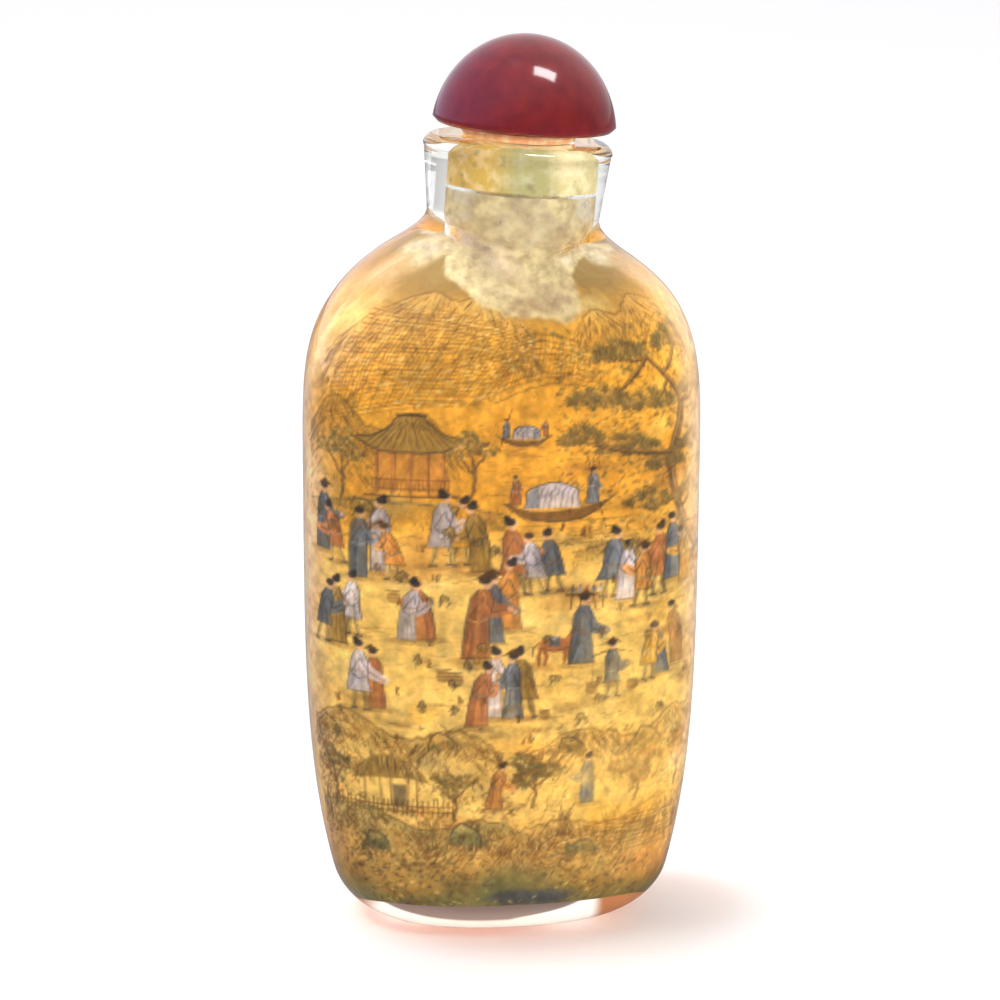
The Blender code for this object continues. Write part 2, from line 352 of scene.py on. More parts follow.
class Nodes:
    """Short ways to place and join the nodes of one tree."""

    def __init__(self, tree):
        self.tree = tree

    def add(self, kind, **values):
        """A new node with some of its sockets set."""
        return self.fill(self.tree.nodes.new(kind), **values)

    def fill(self, node, **values):
        """Sets sockets by name, given as words joined by underscores."""
        for name, value in values.items():
            self.set(node, name.replace("_", " "), value)
        return node

    def set(self, node, name, value):
        """Sets a socket, a colour as it looks on a screen, or joins it where the value is a socket."""
        socket = node.inputs[name]
        if isinstance(value, bpy.types.NodeSocket):
            self.tree.links.new(value, socket)
        else:
            socket.default_value = rgba(value) if socket.type == "RGBA" else value

    def sum(self, operation, *values):
        """One sum on up to three values or sockets."""
        node = self.add("ShaderNodeMath")
        node.operation = operation
        for place, value in enumerate(values):
            self.set(node, place, value)
        return node.outputs[0]

    def blend(self, share, first, second):
        """A colour between two colours or sockets."""
        node = self.add("ShaderNodeMix")
        node.data_type = "RGBA"
        for place, value in ((0, share), (6, first), (7, second)):
            self.set(node, place, value)
        return node.outputs[2]

    def mixed(self, share, first, second):
        """A shader between two shaders."""
        node = self.add("ShaderNodeMixShader")
        for place, value in enumerate((share, first, second)):
            self.set(node, place, value)
        return node.outputs[0]

    def ramp(self, value, low, high, start=0.0, end=1.0, kind="LINEAR"):
        """A clamped ramp from start to end where the value runs from low to high."""
        node = self.add("ShaderNodeMapRange", Value=value, From_Min=low, From_Max=high)
        self.fill(node, To_Min=start, To_Max=end)
        node.interpolation_type = kind
        return node.outputs["Result"]

    def place(self, kind="Object"):
        """The X, Y and Z sockets of a texture coordinate."""
        vector = self.add("ShaderNodeTexCoord").outputs[kind]
        return self.add("ShaderNodeSeparateXYZ", Vector=vector).outputs


def mottle_group():
    """The shared group: a cloudy mask over the surface and the two colours that it mixes."""
    if "mottle" in bpy.data.node_groups:
        return bpy.data.node_groups["mottle"]
    tree = bpy.data.node_groups.new("mottle", "ShaderNodeTree")
    sockets = {"INPUT": (("Float", "Size Low High"), ("Color", "First Second"))}
    sockets["OUTPUT"] = (("Color", "Color"), ("Float", "Mask"))
    for way, kinds in sockets.items():
        for kind, names in kinds:
            for name in names.split():
                tree.interface.new_socket(name, in_out=way, socket_type="NodeSocket" + kind)
    nodes = Nodes(tree)
    entry = nodes.add("NodeGroupInput").outputs
    place = nodes.add("ShaderNodeTexCoord").outputs["Object"]
    scale = nodes.sum("DIVIDE", 1.0, entry["Size"])
    cloud = nodes.add("ShaderNodeTexNoise", Vector=place, Scale=scale, Detail=4.0).outputs["Fac"]
    mask = nodes.ramp(cloud, entry["Low"], entry["High"])
    nodes.add("NodeGroupOutput", Color=nodes.blend(mask, entry["First"], entry["Second"]), Mask=mask)
    return tree


def mottle(nodes, size, low, high, first=(0, 0, 0), second=(1, 1, 1)):
    """The outputs of a placed copy of the shared group with its own values."""
    node = nodes.add("ShaderNodeGroup")
    node.node_tree = mottle_group()
    return nodes.fill(node, Size=size, Low=low, High=high, First=first, Second=second).outputs


def new_material(name):
    """A material with its node helper and its Principled shader, which is joined to the output."""
    made = bpy.data.materials.new(name)
    made.use_nodes = True
    made.node_tree.nodes.clear()
    nodes = Nodes(made.node_tree)
    shader = nodes.add("ShaderNodeBsdfPrincipled")
    nodes.add("ShaderNodeOutputMaterial", Surface=shader.outputs[0])
    return made, nodes, shader


def let_lamps_through(nodes, shader, colour):
    """Rays from lamps pass the surface, tinted by the colour, so that they reach what is behind it."""
    surface = shader.outputs[0].links[0].to_socket
    lamp_ray = nodes.add("ShaderNodeLightPath").outputs["Is Shadow Ray"]
    clear = nodes.add("ShaderNodeBsdfTransparent", Color=colour).outputs[0]
    nodes.tree.links.new(nodes.mixed(lamp_ray, shader.outputs[0], clear), surface)


def in_reflections(nodes):
    """A value of 1 for what the gloss of a surface shows, and 0 for what is seen in other ways."""
    path = nodes.add("ShaderNodeLightPath").outputs
    return nodes.sum("MULTIPLY", path["Is Glossy Ray"], path["Is Reflection Ray"])


def polished_glass(look):
    """Clear glass with a polished outside."""
    made, nodes, shader = new_material("clear_glass")
    nodes.fill(shader, Base_Color=look.tint, Roughness=0.0, IOR=look.refraction)
    nodes.fill(shader, Metallic=0.0, Transmission_Weight=1.0)
    let_lamps_through(nodes, shader, (0.97, 0.98, 0.97))
    return made


def ground_glass(look):
    """The inner wall, ground matt so that it takes paint, with stains in the throat."""
    made, nodes, shader = new_material("ground_glass")
    stains = mottle(nodes, look.ground_mottle, 0.42, 0.62, look.ground_light, look.ground_dark)
    matt = nodes.ramp(stains["Mask"], 0.0, 1.0, 0.22, 0.5)
    nodes.fill(shader, Base_Color=stains["Color"], Roughness=matt, IOR=look.refraction)
    nodes.fill(shader, Metallic=0.0, Transmission_Weight=1.0)
    let_lamps_through(nodes, shader, (0.95, 0.94, 0.92))
    return made


# The frosted floor, in metres from the bottle's middle
CRESCENT_FRONT = -0.0052  # where the grey lens of painted shade along the front turns to white, and how softly
CRESCENT_SOFTNESS = 0.0005
CRESCENT_SLANTS = (0.33, 0.05)  # how the lens of painted shade narrows to the right, and over the whole width
# The right end is paint and also a painted reflection of the paint where the ring is unlit
PAINT_AND_REFLECTION_RIGHT = (0.0068, 0.0080)
PAINTED_LEFT = (-0.0100, -0.0115)
UNDERSIDE = (0.0009, 0.0013)  # heights that part the underside from the floor


def frosted_glass(look):
    """The underside and the cavity's floor: white frost, a grey lens of painted shade along the front, and
    paint at both ends, with a painted reflection of the paint at the right.
    """
    made, nodes, shader = new_material("frosted_glass")
    across, deep, high = nodes.place()
    edge = nodes.sum("MULTIPLY_ADD", nodes.sum("MAXIMUM", across, 0.0), CRESCENT_SLANTS[0], deep)
    edge = nodes.sum("MULTIPLY_ADD", across, CRESCENT_SLANTS[1], edge)
    limits = (
        (edge, (CRESCENT_FRONT, CRESCENT_FRONT + CRESCENT_SOFTNESS)), (across, PAINT_AND_REFLECTION_RIGHT),
        (across, PAINTED_LEFT), (high, UNDERSIDE),
    )
    behind, right, left, floor = (nodes.ramp(value, *limit, kind="SMOOTHSTEP") for value, limit in limits)
    # The grey lens along the front is painted shade
    front = nodes.blend(behind, look.foot_painted_shade, look.frost)
    # Both ends take the paint's colour, at the right also as a painted reflection of the paint
    colour = nodes.blend(nodes.sum("MAXIMUM", right, left), front, look.foot_paint_and_reflection)
    nodes.fill(shader, Base_Color=colour, Roughness=0.45, Metallic=0.0, Transmission_Weight=0.0)
    let_lamps_through(nodes, shader, nodes.blend(floor, look.foot_clear, look.foot_shadow))
    return made


def painted_film(look):
    """The paint film: the brush colours with a fine grain of pigment."""
    made, nodes, shader = new_material("painted_film")
    brush = nodes.add("ShaderNodeAttribute")
    brush.attribute_name = "paint"
    paint, bare = brush.outputs["Color"], brush.outputs["Alpha"]
    darker = nodes.add("ShaderNodeHueSaturation", Color=paint, Value=0.86).outputs["Color"]
    grain = mottle(nodes, 0.00035, 0.35, 0.7, paint, darker)["Color"]
    # Above the picture the film is a thin bloom with stains, see-through in places
    bloom = mottle(nodes, 0.0009, 0.36, 0.68, look.bloom, look.stain)["Color"]
    thin = nodes.ramp(mottle(nodes, 0.0026, 0.38, 0.62)["Mask"], 0.0, 1.0, 0.25, 0.6)
    cover = nodes.sum("SUBTRACT", 1.0, nodes.sum("MULTIPLY", bare, thin))
    colour = nodes.blend(bare, grain, bloom)
    nodes.fill(shader, Base_Color=colour, Roughness=0.7, Alpha=cover, Specular_IOR_Level=0.1)
    let_lamps_through(nodes, shader, look.glow)
    return made


def red_cap_glass(look):
    """Deep red glass, cloudy inside and polished."""
    made, nodes, shader = new_material("red_cap")
    clouds = mottle(nodes, 0.0016, 0.35, 0.65, look.cap_deep, look.cap_light)
    nodes.fill(shader, Base_Color=clouds["Color"], Roughness=0.11, IOR=1.5)
    return made


def collar_plastic(look):
    """The peach disc, a little cloudy."""
    made, nodes, shader = new_material("peach_collar")
    clouds = mottle(nodes, 0.0009, 0.4, 0.65, look.collar, (0.96, 0.82, 0.62))
    nodes.fill(shader, Base_Color=clouds["Color"], Roughness=0.35)
    return made


def plug_plastic(look):
    """The plug with glue round it: golden at the left, grey-green in the middle, stained."""
    made, nodes, shader = new_material("pale_plug")
    side = nodes.ramp(nodes.place()["X"], PLUG_MIDDLE - BORE_RADIUS, PLUG_MIDDLE + BORE_RADIUS)
    bands = nodes.add("ShaderNodeValToRGB", Fac=side)
    stops = bands.color_ramp.elements
    stops.remove(stops[1])
    stops[0].position, stops[0].color = 0.16, rgba(look.plug_gold)
    for place, colour in ((0.38, look.plug_green), (0.62, look.plug_green), (0.8, look.plug_cream)):
        stops.new(place).color = rgba(colour)
    plain = bands.outputs["Color"]
    lighter = nodes.add("ShaderNodeHueSaturation", Saturation=0.75, Value=1.25, Color=plain).outputs["Color"]
    streaks = mottle(nodes, 0.0012, 0.45, 0.65, plain, lighter)["Color"]
    specks = mottle(nodes, 0.0014, 0.58, 0.78)["Mask"]
    nodes.fill(shader, Base_Color=nodes.blend(specks, streaks, look.plug_dark), Roughness=0.5)
    return made


class Painting:
    """A picture on a grid of points, x from its middle and y from its lower edge, in millimetres."""

    def __init__(self, width, height, columns, rows, palette, seed):
        self.x = np.linspace(-width / 2, width / 2, columns + 1)
        self.y = np.linspace(0.0, height, rows + 1)
        self.cell = width / columns
        self.colour = np.zeros((rows + 1, columns + 1, 3))
        self.random = np.random.RandomState(seed)
        self.palette = palette

    def shade(self, name, light=1.0):
        """A palette colour, made lighter or darker."""
        return np.clip(np.array(getattr(self.palette, name)) * light, 0.0, 1.0)

    def draw(self, low, high):
        """One random number between two values."""
        return low + (high - low) * self.random.rand()

    def around(self, points, reach=0.0):
        """The part of the grid round some points, with its x and y values."""
        low, high = points.min(0) - reach - self.cell, points.max(0) + reach + self.cell
        left, right = np.searchsorted(self.x, (low[0], high[0]))
        bottom, top = np.searchsorted(self.y, (low[1], high[1]))
        return np.s_[bottom:top, left:right], self.x[None, left:right], self.y[bottom:top, None]

    def lay(self, area, mask, colour):
        """Lays a colour, or a palette's name with or without its light, as thickly as the mask says."""
        if isinstance(colour, str):
            colour = (colour,)
        if isinstance(colour, tuple):
            colour = self.shade(*colour)
        patch = self.colour[area]
        patch += (colour - patch) * mask[..., None]

    def cloud(self, patch, octaves=3):
        """A soft random field from 0 to 1 over the whole picture, with patches of about a given size."""
        total = np.zeros(self.colour.shape[:2])
        for octave in range(octaves):
            size = patch / 2**octave
            across, up = (self.x - self.x[0]) / size, self.y / size
            dots = self.random.rand(int(up[-1]) + 2, int(across[-1]) + 2)
            column, row = across.astype(int), up.astype(int)
            to_right, to_top = smooth_step(across - column)[None, :], smooth_step(up - row)[:, None]
            lower = dots[row][:, column] * (1 - to_right) + dots[row][:, column + 1] * to_right
            upper = dots[row + 1][:, column] * (1 - to_right) + dots[row + 1][:, column + 1] * to_right
            total += (lower * (1 - to_top) + upper * to_top) / 2**octave
        return total / (2 - 0.5 ** (octaves - 1))

    def wash(self, x, y, across, tall, colour, strength=1.0, ragged=0.5, patch=4.0):
        """A broad wet wash with a soft, uneven edge."""
        away = np.hypot((self.x[None, :] - x) / across, (self.y[:, None] - y) / tall)
        mask = smooth_step(1.3 - away + ragged * (self.cloud(patch) - 0.5) * 2) * strength
        self.lay(np.s_[:, :], mask, colour)

    def grain(self):
        """Unevenness of the brush and of the pigment over the whole picture."""
        calm = 1 - 0.8 * smooth_step((self.y[:, None] - 50) / 7)
        light = 1 + calm * (0.3 * (self.cloud(2.4) - 0.5) + 0.3 * (self.cloud(0.7, 2) - 0.5))
        warmth = 0.14 * (self.cloud(1.6) - 0.5)
        for channel, share in enumerate((0.4, 0.0, -1.0)):
            self.colour[..., channel] *= light + warmth * share
        np.clip(self.colour, 0.0, 1.0, out=self.colour)

    @staticmethod
    def nearest(x, y, here, there):
        """How far along a line the nearest place to each point is, from 0 to 1, and how far away it is."""
        run = there - here
        share = np.clip(((x - here[0]) * run[0] + (y - here[1]) * run[1]) / max(run @ run, 1e-9), 0.0, 1.0)
        return share, np.hypot(x - here[0] - share * run[0], y - here[1] - share * run[1])

    def stroke(self, points, width, colour, strength=1.0, start=0.4, end=0.2):
        """A brush line through points. Its width at either end is a share of its full width."""
        points = np.asarray(points, float)
        points = points + self.random.normal(0, 0.05, points.shape)
        area, x, y = self.around(points, width)
        if not x.size or not y.size:
            return
        mask = np.zeros((y.size, x.size))
        for step, (here, there) in enumerate(zip(points, points[1:])):
            share, away = self.nearest(x, y, here, there)
            along = (step + share) / (len(points) - 1)
            press = np.minimum(start + (1 - start) * along * 3, end + (1 - end) * (1 - along) * 3)
            cover = (width * np.minimum(press, 1) / 2 - away) / self.cell + 0.5
            mask = np.maximum(mask, np.clip(cover, 0, 1))
        self.lay(area, mask * strength, colour)

    def shape(self, points, colour, strength=1.0):
        """A filled outline."""
        points = np.asarray(points, float)
        area, x, y = self.around(points)
        if not x.size or not y.size:
            return
        filled = np.zeros((y.size, x.size), bool)
        edge = np.full(filled.shape, np.inf)
        for here, there in zip(points, np.roll(points, -1, 0)):
            run = there - here
            edge = np.minimum(edge, self.nearest(x, y, here, there)[1])
            spans = (here[1] > y) != (there[1] > y)
            filled ^= spans & (x < here[0] + run[0] * (y - here[1]) / (run[1] or 1e-9))
        mask = np.clip(np.where(filled, edge, -edge) / self.cell + 0.5, 0, 1)
        self.lay(area, mask * strength, colour)

    def dab(self, x, y, across, tall, colour, strength=1.0, turn=0.0):
        """One oval touch of the brush."""
        area, right, up = self.around(np.array([[x, y]]), max(across, tall))
        right, up = right - x, up - y
        turned_x = right * math.cos(turn) + up * math.sin(turn)
        turned_y = up * math.cos(turn) - right * math.sin(turn)
        away = np.hypot(turned_x / across, turned_y / tall)
        mask = np.clip((1 - away) * min(across, tall) / self.cell + 0.5, 0, 1)
        self.lay(area, mask * strength, colour)


def curve(points, count=12):
    """A smooth line through a few points."""
    points = np.asarray(points, float)
    padded = np.vstack([2 * points[0] - points[1], points, 2 * points[-1] - points[-2]])
    share = np.linspace(0, 1, count, endpoint=False)[:, None]
    parts = []
    for a, b, c, d in zip(padded, padded[1:], padded[2:], padded[3:]):
        cubic = (3 * (b - c) + d - a) * share**3 + (2 * a - 5 * b + 4 * c - d) * share**2 + (c - a) * share
        parts.append(b + cubic / 2)
    return np.vstack([*parts, points[-1:]])


def placed(x, y, size, side=1, stoop=0.0):
    """Turns shares of a motif's size, across and up by turns, into one place or a list of places."""
    def at(*shares):
        places = [
            (x + side * (across + stoop * up * up) * size, y + up * size * (1 - 0.35 * abs(stoop)))
            for across, up in zip(shares[::2], shares[1::2])
        ]
        return places if len(places) > 1 else places[0]

    return at


def paint_ground(art):
    """The amber ground: moss and olive at the foot, golden above, straw and pale darkened as painted shade
    under the shoulders, and peach sides that are painted light.
    """
    levels = (0.0, 2.2, 5.0, 9.0, 14.0, 30.0, 36.0, 51.0, 56.0, 62.0)
    names = ("moss", "olive", "straw", "sand", "sand", "sand", "gold", "gold")
    colours = [art.shade(name) for name in names]
    # Under the shoulders the straw and pale are darkened as painted shade, against the stronger light from
    # above
    colours = np.array([*colours, art.shade("straw", 0.72), art.shade("pale", 0.74)])
    uneven = art.y[:, None] + 3.0 * (art.cloud(8.0) - 0.5)
    for channel in range(3):
        art.colour[..., channel] = np.interp(uneven, levels, colours[:, channel])
    # Peach washes at both sides are painted light at the glass's curved edges
    for side in (-1, 1):
        art.wash(side * (art.x[-1] + 1.0), 34, 5.2, 30, "peach", 0.9, 0.35)
    for step in range(44):
        name = ("gold", "pale", "earth", "sand")[step % 4]
        x, y = art.draw(-17, 17), art.draw(8, 56)
        art.wash(x, y, art.draw(1.2, 4.5), art.draw(0.5, 1.6), (name, art.draw(0.9, 1.05)), 0.4, 0.8, 2.0)
    for step in range(2600):
        x, y = art.draw(-19, 19), art.draw(1, 54)
        line = [(x, y), (x + art.draw(0.2, 0.9), y + art.draw(-0.15, 0.15))]
        art.stroke(line, art.draw(0.08, 0.2), ("umber", art.draw(0.9, 1.5)), art.draw(0.08, 0.26))


def slope(art, peaks, foot, name, strength=0.8):
    """A hill, dark along its ridge and lost in mist at its foot, with dry brush strokes."""
    ridge = curve(peaks, 10)
    ridge[:, 1] += 0.3 * (art.random.rand(len(ridge)) - 0.5)
    top = np.interp(art.x, ridge[:, 0], ridge[:, 1], left=-9, right=-9)[None, :]
    y = art.y[:, None]
    depth = np.clip((y - foot) / np.maximum(top - foot, 0.5), 0, 1)
    mask = (y < top) * depth**1.4 * strength * (0.7 + 0.5 * (art.cloud(2.0) - 0.5))
    art.lay(np.s_[:, :], np.clip(mask, 0, 1), name)
    art.stroke(ridge, 0.2, "umber", 0.6)
    for step in range(int((peaks[-1][0] - peaks[0][0]) * 30)):
        x = art.draw(peaks[0][0], peaks[-1][0])
        high = np.interp(x, ridge[:, 0], ridge[:, 1])
        y = high - abs(art.random.randn()) * (high - foot) * 0.45 - 0.1
        tilt = np.interp(x + 0.6, ridge[:, 0], ridge[:, 1]) - high
        reach = art.draw(0.3, 1.0)
        lean = math.copysign(0.5, tilt) + 0.15 * art.random.randn()
        line = [(x, y), (x - lean * reach * 0.5, y - reach * 0.5), (x - lean * reach * 1.2, y - reach)]
        art.stroke(line, art.draw(0.07, 0.15), ("umber", art.draw(0.7, 1.3)), art.draw(0.25, 0.65))


def terraces(art, corners, rows, columns):
    """Tilled fields between four corners: curved furrows crossed by finer ones, with specks between."""
    first, second, third, fourth = (np.array(corner, float) for corner in corners)

    def at(across, up):
        bulge = math.sin(math.pi * across) * 0.9
        low, high = first + (second - first) * across, fourth + (third - fourth) * across
        return low + (high - low) * up + (0, bulge)

    for row in range(rows):
        up = (row + art.draw(-0.15, 0.15)) / rows
        line = [at(across, up) for across in np.linspace(0, 1, 12)]
        art.stroke(line, 0.13, ("umber", art.draw(0.8, 1.2)), art.draw(0.4, 0.7), 0.7, 0.4)
    for column in range(columns):
        across = (column + art.draw(-0.2, 0.2)) / columns
        line = [at(across, up) for up in np.linspace(art.draw(0, 0.2), art.draw(0.8, 1), 7)]
        art.stroke(line, 0.1, ("umber", art.draw(0.8, 1.3)), art.draw(0.3, 0.55), 0.7, 0.4)
    for step in range(rows * columns // 3):
        name = ("pale", "olive", "sand")[step % 3]
        spot = at(art.draw(0, 1), art.draw(0, 1))
        art.dab(*spot, 0.2, 0.1, name, 0.5, art.draw(0, 0.6))


def needles(art, x, y, size, turn):
    """One fan of pine needles, dark below and golden above."""
    for step in range(11):
        angle = turn + (step - 5) * 0.24 + art.draw(-0.08, 0.08)
        reach = size * art.draw(0.7, 1.0)
        colour = (("olive", "umber", "moss")[step % 3], art.draw(0.75, 1.25))
        tip = (x + reach * math.cos(angle), y + reach * math.sin(angle))
        art.stroke([(x, y), tip], 0.1, colour, 0.75, 1, 0.3)


def branch(art, points, width, name="umber"):
    """A branch with a rough, shaded bark."""
    line = curve(points, 8)
    art.stroke(line, width, name, 0.85, 1.0, 0.35)
    art.stroke(line + [0.0, -width * 0.25], width * 0.35, "ink", 0.45, 1.0, 0.3)
    art.stroke(line + [0.0, width * 0.3], width * 0.22, "straw", 0.5, 1.0, 0.3)


def pine(art, trunk, width, boughs):
    """An old pine: a bent trunk and pads of needles. Each bough is its end, and its pad's half width."""
    branch(art, trunk, width)
    line = curve(trunk, 8)
    for x, y, spread in boughs:
        root = line[np.hypot(line[:, 0] - x, line[:, 1] - y).argmin()]
        middle = (root + [x, y]) / 2 + [0, -0.3]
        branch(art, [root, middle, (x, y)], width * 0.4)
        art.wash(x, y + 0.4, spread, spread * 0.4, "olive", 0.5, 0.6, 1.2)
        for step in range(int(spread * 13)):
            side = art.draw(-1, 1)
            needle_y = y + art.draw(-0.35, 0.75) * (1 - side * side) * 1.6
            needles(art, x + side * spread, needle_y, art.draw(0.5, 0.85), math.pi / 2 - side * 0.7)


def leafy_tree(art, x, y, height, spread, names=("olive", "umber", "straw", "moss"), fill=70):
    """A round tree: a thin trunk and a crown of small dabs."""
    top = y + height
    branch(art, [(x, y), (x + 0.3, y + height * 0.4), (x - 0.1, top)], 0.3)
    for side in (-1, 1):
        branch(art, [(x + 0.1, y + height * 0.5), (x + side * spread * 0.6, top - 0.3)], 0.18)
    for step in range(int(spread * spread * fill)):
        angle, far = art.draw(0, math.tau), math.sqrt(art.random.rand())
        far *= 0.75 + 0.35 * math.sin(3 * angle + x)
        leaf_x, leaf_y = x + far * spread * math.cos(angle), top + far * spread * 0.62 * math.sin(angle)
        name = names[int(art.draw(0, len(names)))]
        size = art.draw(0.10, 0.22)
        art.dab(leaf_x, leaf_y, size, size * 0.6, (name, art.draw(0.85, 1.15)), 0.6, art.draw(0, 3))


def foliage(art, low_x, high_x, low_y, high_y, count, names=("olive", "umber", "straw", "moss")):
    """Loose leaves and twigs scattered in drifts over part of the picture."""
    drifts = art.cloud(3.0)
    for step in range(count):
        x, y = art.draw(low_x, high_x), art.draw(low_y, high_y)
        row, column = np.searchsorted(art.y, y) - 1, np.searchsorted(art.x, x) - 1
        if drifts[row, column] < 0.47:
            continue
        size, turn = art.draw(0.1, 0.24), art.draw(-0.5, 1.2)
        art.dab(x, y, size, size * 0.5, (names[step % len(names)], art.draw(0.8, 1.2)), 0.6, turn)
        if step % 6 == 0:
            twig = [(x, y), (x + art.draw(-0.9, 0.9), y + art.draw(0.1, 0.6))]
            art.stroke(twig, 0.1, ("umber", 0.8), 0.6)


def figure(art, x, y, height, robe, side=1, trim="lilac", hat=False, stoop=0.0):
    """A small figure in a robe, turned to one side, bowed forward by the stoop. Some wear it short."""
    at = placed(x, y, height, side, stoop)
    art.dab(*at(-0.05, 0.0), 0.26 * height, 0.05 * height, "umber", 0.3)
    cloth = art.shade(robe, art.draw(0.85, 1.12))
    dark = art.shade("ink", art.draw(0.9, 1.5))
    low, hem, waist = 0.02, art.draw(0.13, 0.2), art.draw(0.09, 0.12)
    if art.draw(0, 1) > 0.62:
        low = 0.26
        for leg, foot in ((-0.05, art.draw(-0.16, -0.06)), (0.05, art.draw(0.04, 0.16))):
            line = at(leg, 0.32, (leg + foot) / 2 + 0.02, 0.17, foot, 0.02)
            art.stroke(line, 0.085 * height, ("sand", art.draw(0.6, 1.0)), 0.85, 1, 0.6)
            art.stroke(line, 0.1, dark, 0.6, 1, 1)
            art.stroke(at(foot - 0.02, 0.01, foot + 0.06, 0.01), 0.2, dark, 0.8, 1, 1)
    back = at(-hem, low, -waist - 0.03, 0.42, -0.12, 0.7, -0.06, 0.82)
    front = at(0.05, 0.82, 0.12, 0.68, waist, 0.44, hem * 0.9, low)
    art.shape(back + front, cloth, 0.8)
    art.shape([*back, *at(-0.03, 0.6, -0.05, low)], cloth * 0.7, 0.5)
    for step in range(12):
        fold = art.draw(-1, 1)
        top = art.draw(low + 0.15, 0.78)
        end = max(low, top - art.draw(0.2, 0.5))
        line = at(fold * 0.09, top, fold * 0.11, top * 0.7, fold * hem, end)
        art.stroke(line, art.draw(0.1, 0.2), (robe, art.draw(0.55, 1.4)), 0.5)
    reach = art.draw(0.18, 0.34)
    hand = at(reach, art.draw(0.42, 0.66))
    elbow = at(0.14, art.draw(0.48, 0.56))
    art.stroke([at(0.02, 0.74), elbow, hand], 0.15 * height, np.clip(cloth * 1.1, 0, 1), 0.8, 0.8, 0.7)
    for points in (back, front, [at(0.0, 0.72), elbow, hand], at(0.0, 0.7, -0.1, 0.5, 0.02, 0.42)):
        art.stroke(points, art.draw(0.08, 0.15), dark, art.draw(0.5, 0.85))
    art.stroke(at(-hem, low, hem * 0.9, low), 0.1, dark, 0.5)
    art.stroke(at(-waist, 0.47, 0.0, 0.44, waist, 0.48), 0.13, trim, 0.5)
    art.stroke(at(-0.03, 0.83, 0.03, 0.74, 0.06, 0.6), 0.11, trim, 0.5)
    art.dab(*hand, 0.034 * height, 0.03 * height, "skin", 0.85)
    art.dab(*at(0.02, 0.885), 0.055 * height, 0.07 * height, "skin", 0.9)
    art.dab(*at(-0.015, 0.925), 0.07 * height, 0.05 * height, ("ink", 0.8), 0.9)
    if hat:
        art.shape(at(-0.13, 0.93, 0.0, 1.03, 0.14, 0.93, 0.0, 0.95), ("umber", 0.75), 0.95)
    elif art.draw(0, 1) > 0.4:
        art.dab(*at(-0.05, 0.975), 0.04 * height, 0.034 * height, ("ink", 0.8), 0.9)


def basket(art, x, y, size):
    """A woven basket or jar on the ground."""
    art.dab(x, y + size * 0.5, size * 0.55, size * 0.5, ("straw", 0.8), 0.9)
    for up in (0.2, 0.5, 0.8):
        art.stroke([(x - size * 0.5, y + up * size), (x + size * 0.5, y + up * size)], 0.09, "umber", 0.7)
    art.stroke([(x - size * 0.45, y + size), (x + size * 0.45, y + size)], 0.13, "ink", 0.6, 1, 1)


def porter(art, x, y, height, robe, side=1):
    """A figure with a carrying pole and two baskets."""
    figure(art, x, y, height, robe, side, hat=True)
    high = y + height * 0.8
    pole = curve([(x - 1.9, high - 0.35), (x, high), (x + 1.9, high - 0.3)], 5)
    art.stroke(pole, 0.13, ("umber", 0.7), 0.9)
    for end in (-1.9, 1.9):
        art.stroke([(x + end, high - 0.3), (x + end, y + 1.5)], 0.07, "umber", 0.7)
        basket(art, x + end, y + 0.5, 1.0)


def horse(art, x, y, size, side=1, name="russet"):
    """A small saddled horse."""
    at = placed(x, y, size, side)
    coat = art.shade(name)
    for leg, bend in ((-0.36, -0.03), (-0.26, 0.05), (0.24, 0.0), (0.34, 0.07)):
        art.stroke(at(leg, 0.4, leg + bend, 0.2, leg + bend * 0.4, 0.0), 0.1 * size, coat * 0.8, 0.9, 1, 0.5)
    art.dab(*at(0.0, 0.5), 0.42 * size, 0.18 * size, coat, 0.9)
    art.stroke(at(0.3, 0.52, 0.46, 0.74, 0.52, 0.86), 0.2 * size, coat, 0.9, 1, 0.6)
    art.stroke(at(0.48, 0.88, 0.7, 0.74), 0.12 * size, coat, 0.9, 1, 0.7)
    art.stroke(at(0.3, 0.66, 0.42, 0.88, 0.52, 0.97), 0.09, "ink", 0.7)
    art.stroke(at(-0.4, 0.56, -0.54, 0.4, -0.52, 0.2), 0.14, "ink", 0.7)
    art.stroke(at(-0.4, 0.42, 0.0, 0.33, 0.38, 0.42), 0.1, "ink", 0.6)
    art.shape(at(-0.16, 0.46, -0.12, 0.72, 0.12, 0.7, 0.14, 0.46), "slate", 0.85)
    art.stroke(at(-0.16, 0.7, 0.0, 0.66, 0.15, 0.72), 0.15, "lilac", 0.8)


def table_and_wares(art, x, y, width):
    """A low table with jars on it."""
    for leg in (-0.45, -0.2, 0.2, 0.45):
        art.stroke([(x + leg * width, y), (x + leg * width * 0.95, y + 1.2)], 0.12, ("umber", 0.8), 0.9, 1, 1)
    art.stroke([(x - width * 0.55, y + 1.25), (x + width * 0.55, y + 1.25)], 0.26, "umber", 0.9, 1, 1)
    art.stroke([(x - width * 0.5, y + 1.33), (x + width * 0.5, y + 1.33)], 0.1, "sand", 0.8, 1, 1)
    for step in range(int(width * 1.6)):
        jar = x + (step + 0.5) / (width * 1.6) * width - width / 2
        name = ("slate", "lilac", "russet")[step % 3]
        art.dab(jar, y + 1.65, 0.2, 0.3, name, 0.9)
        art.stroke([(jar, y + 1.9), (jar, y + 2.1)], 0.12, "ink", 0.7)


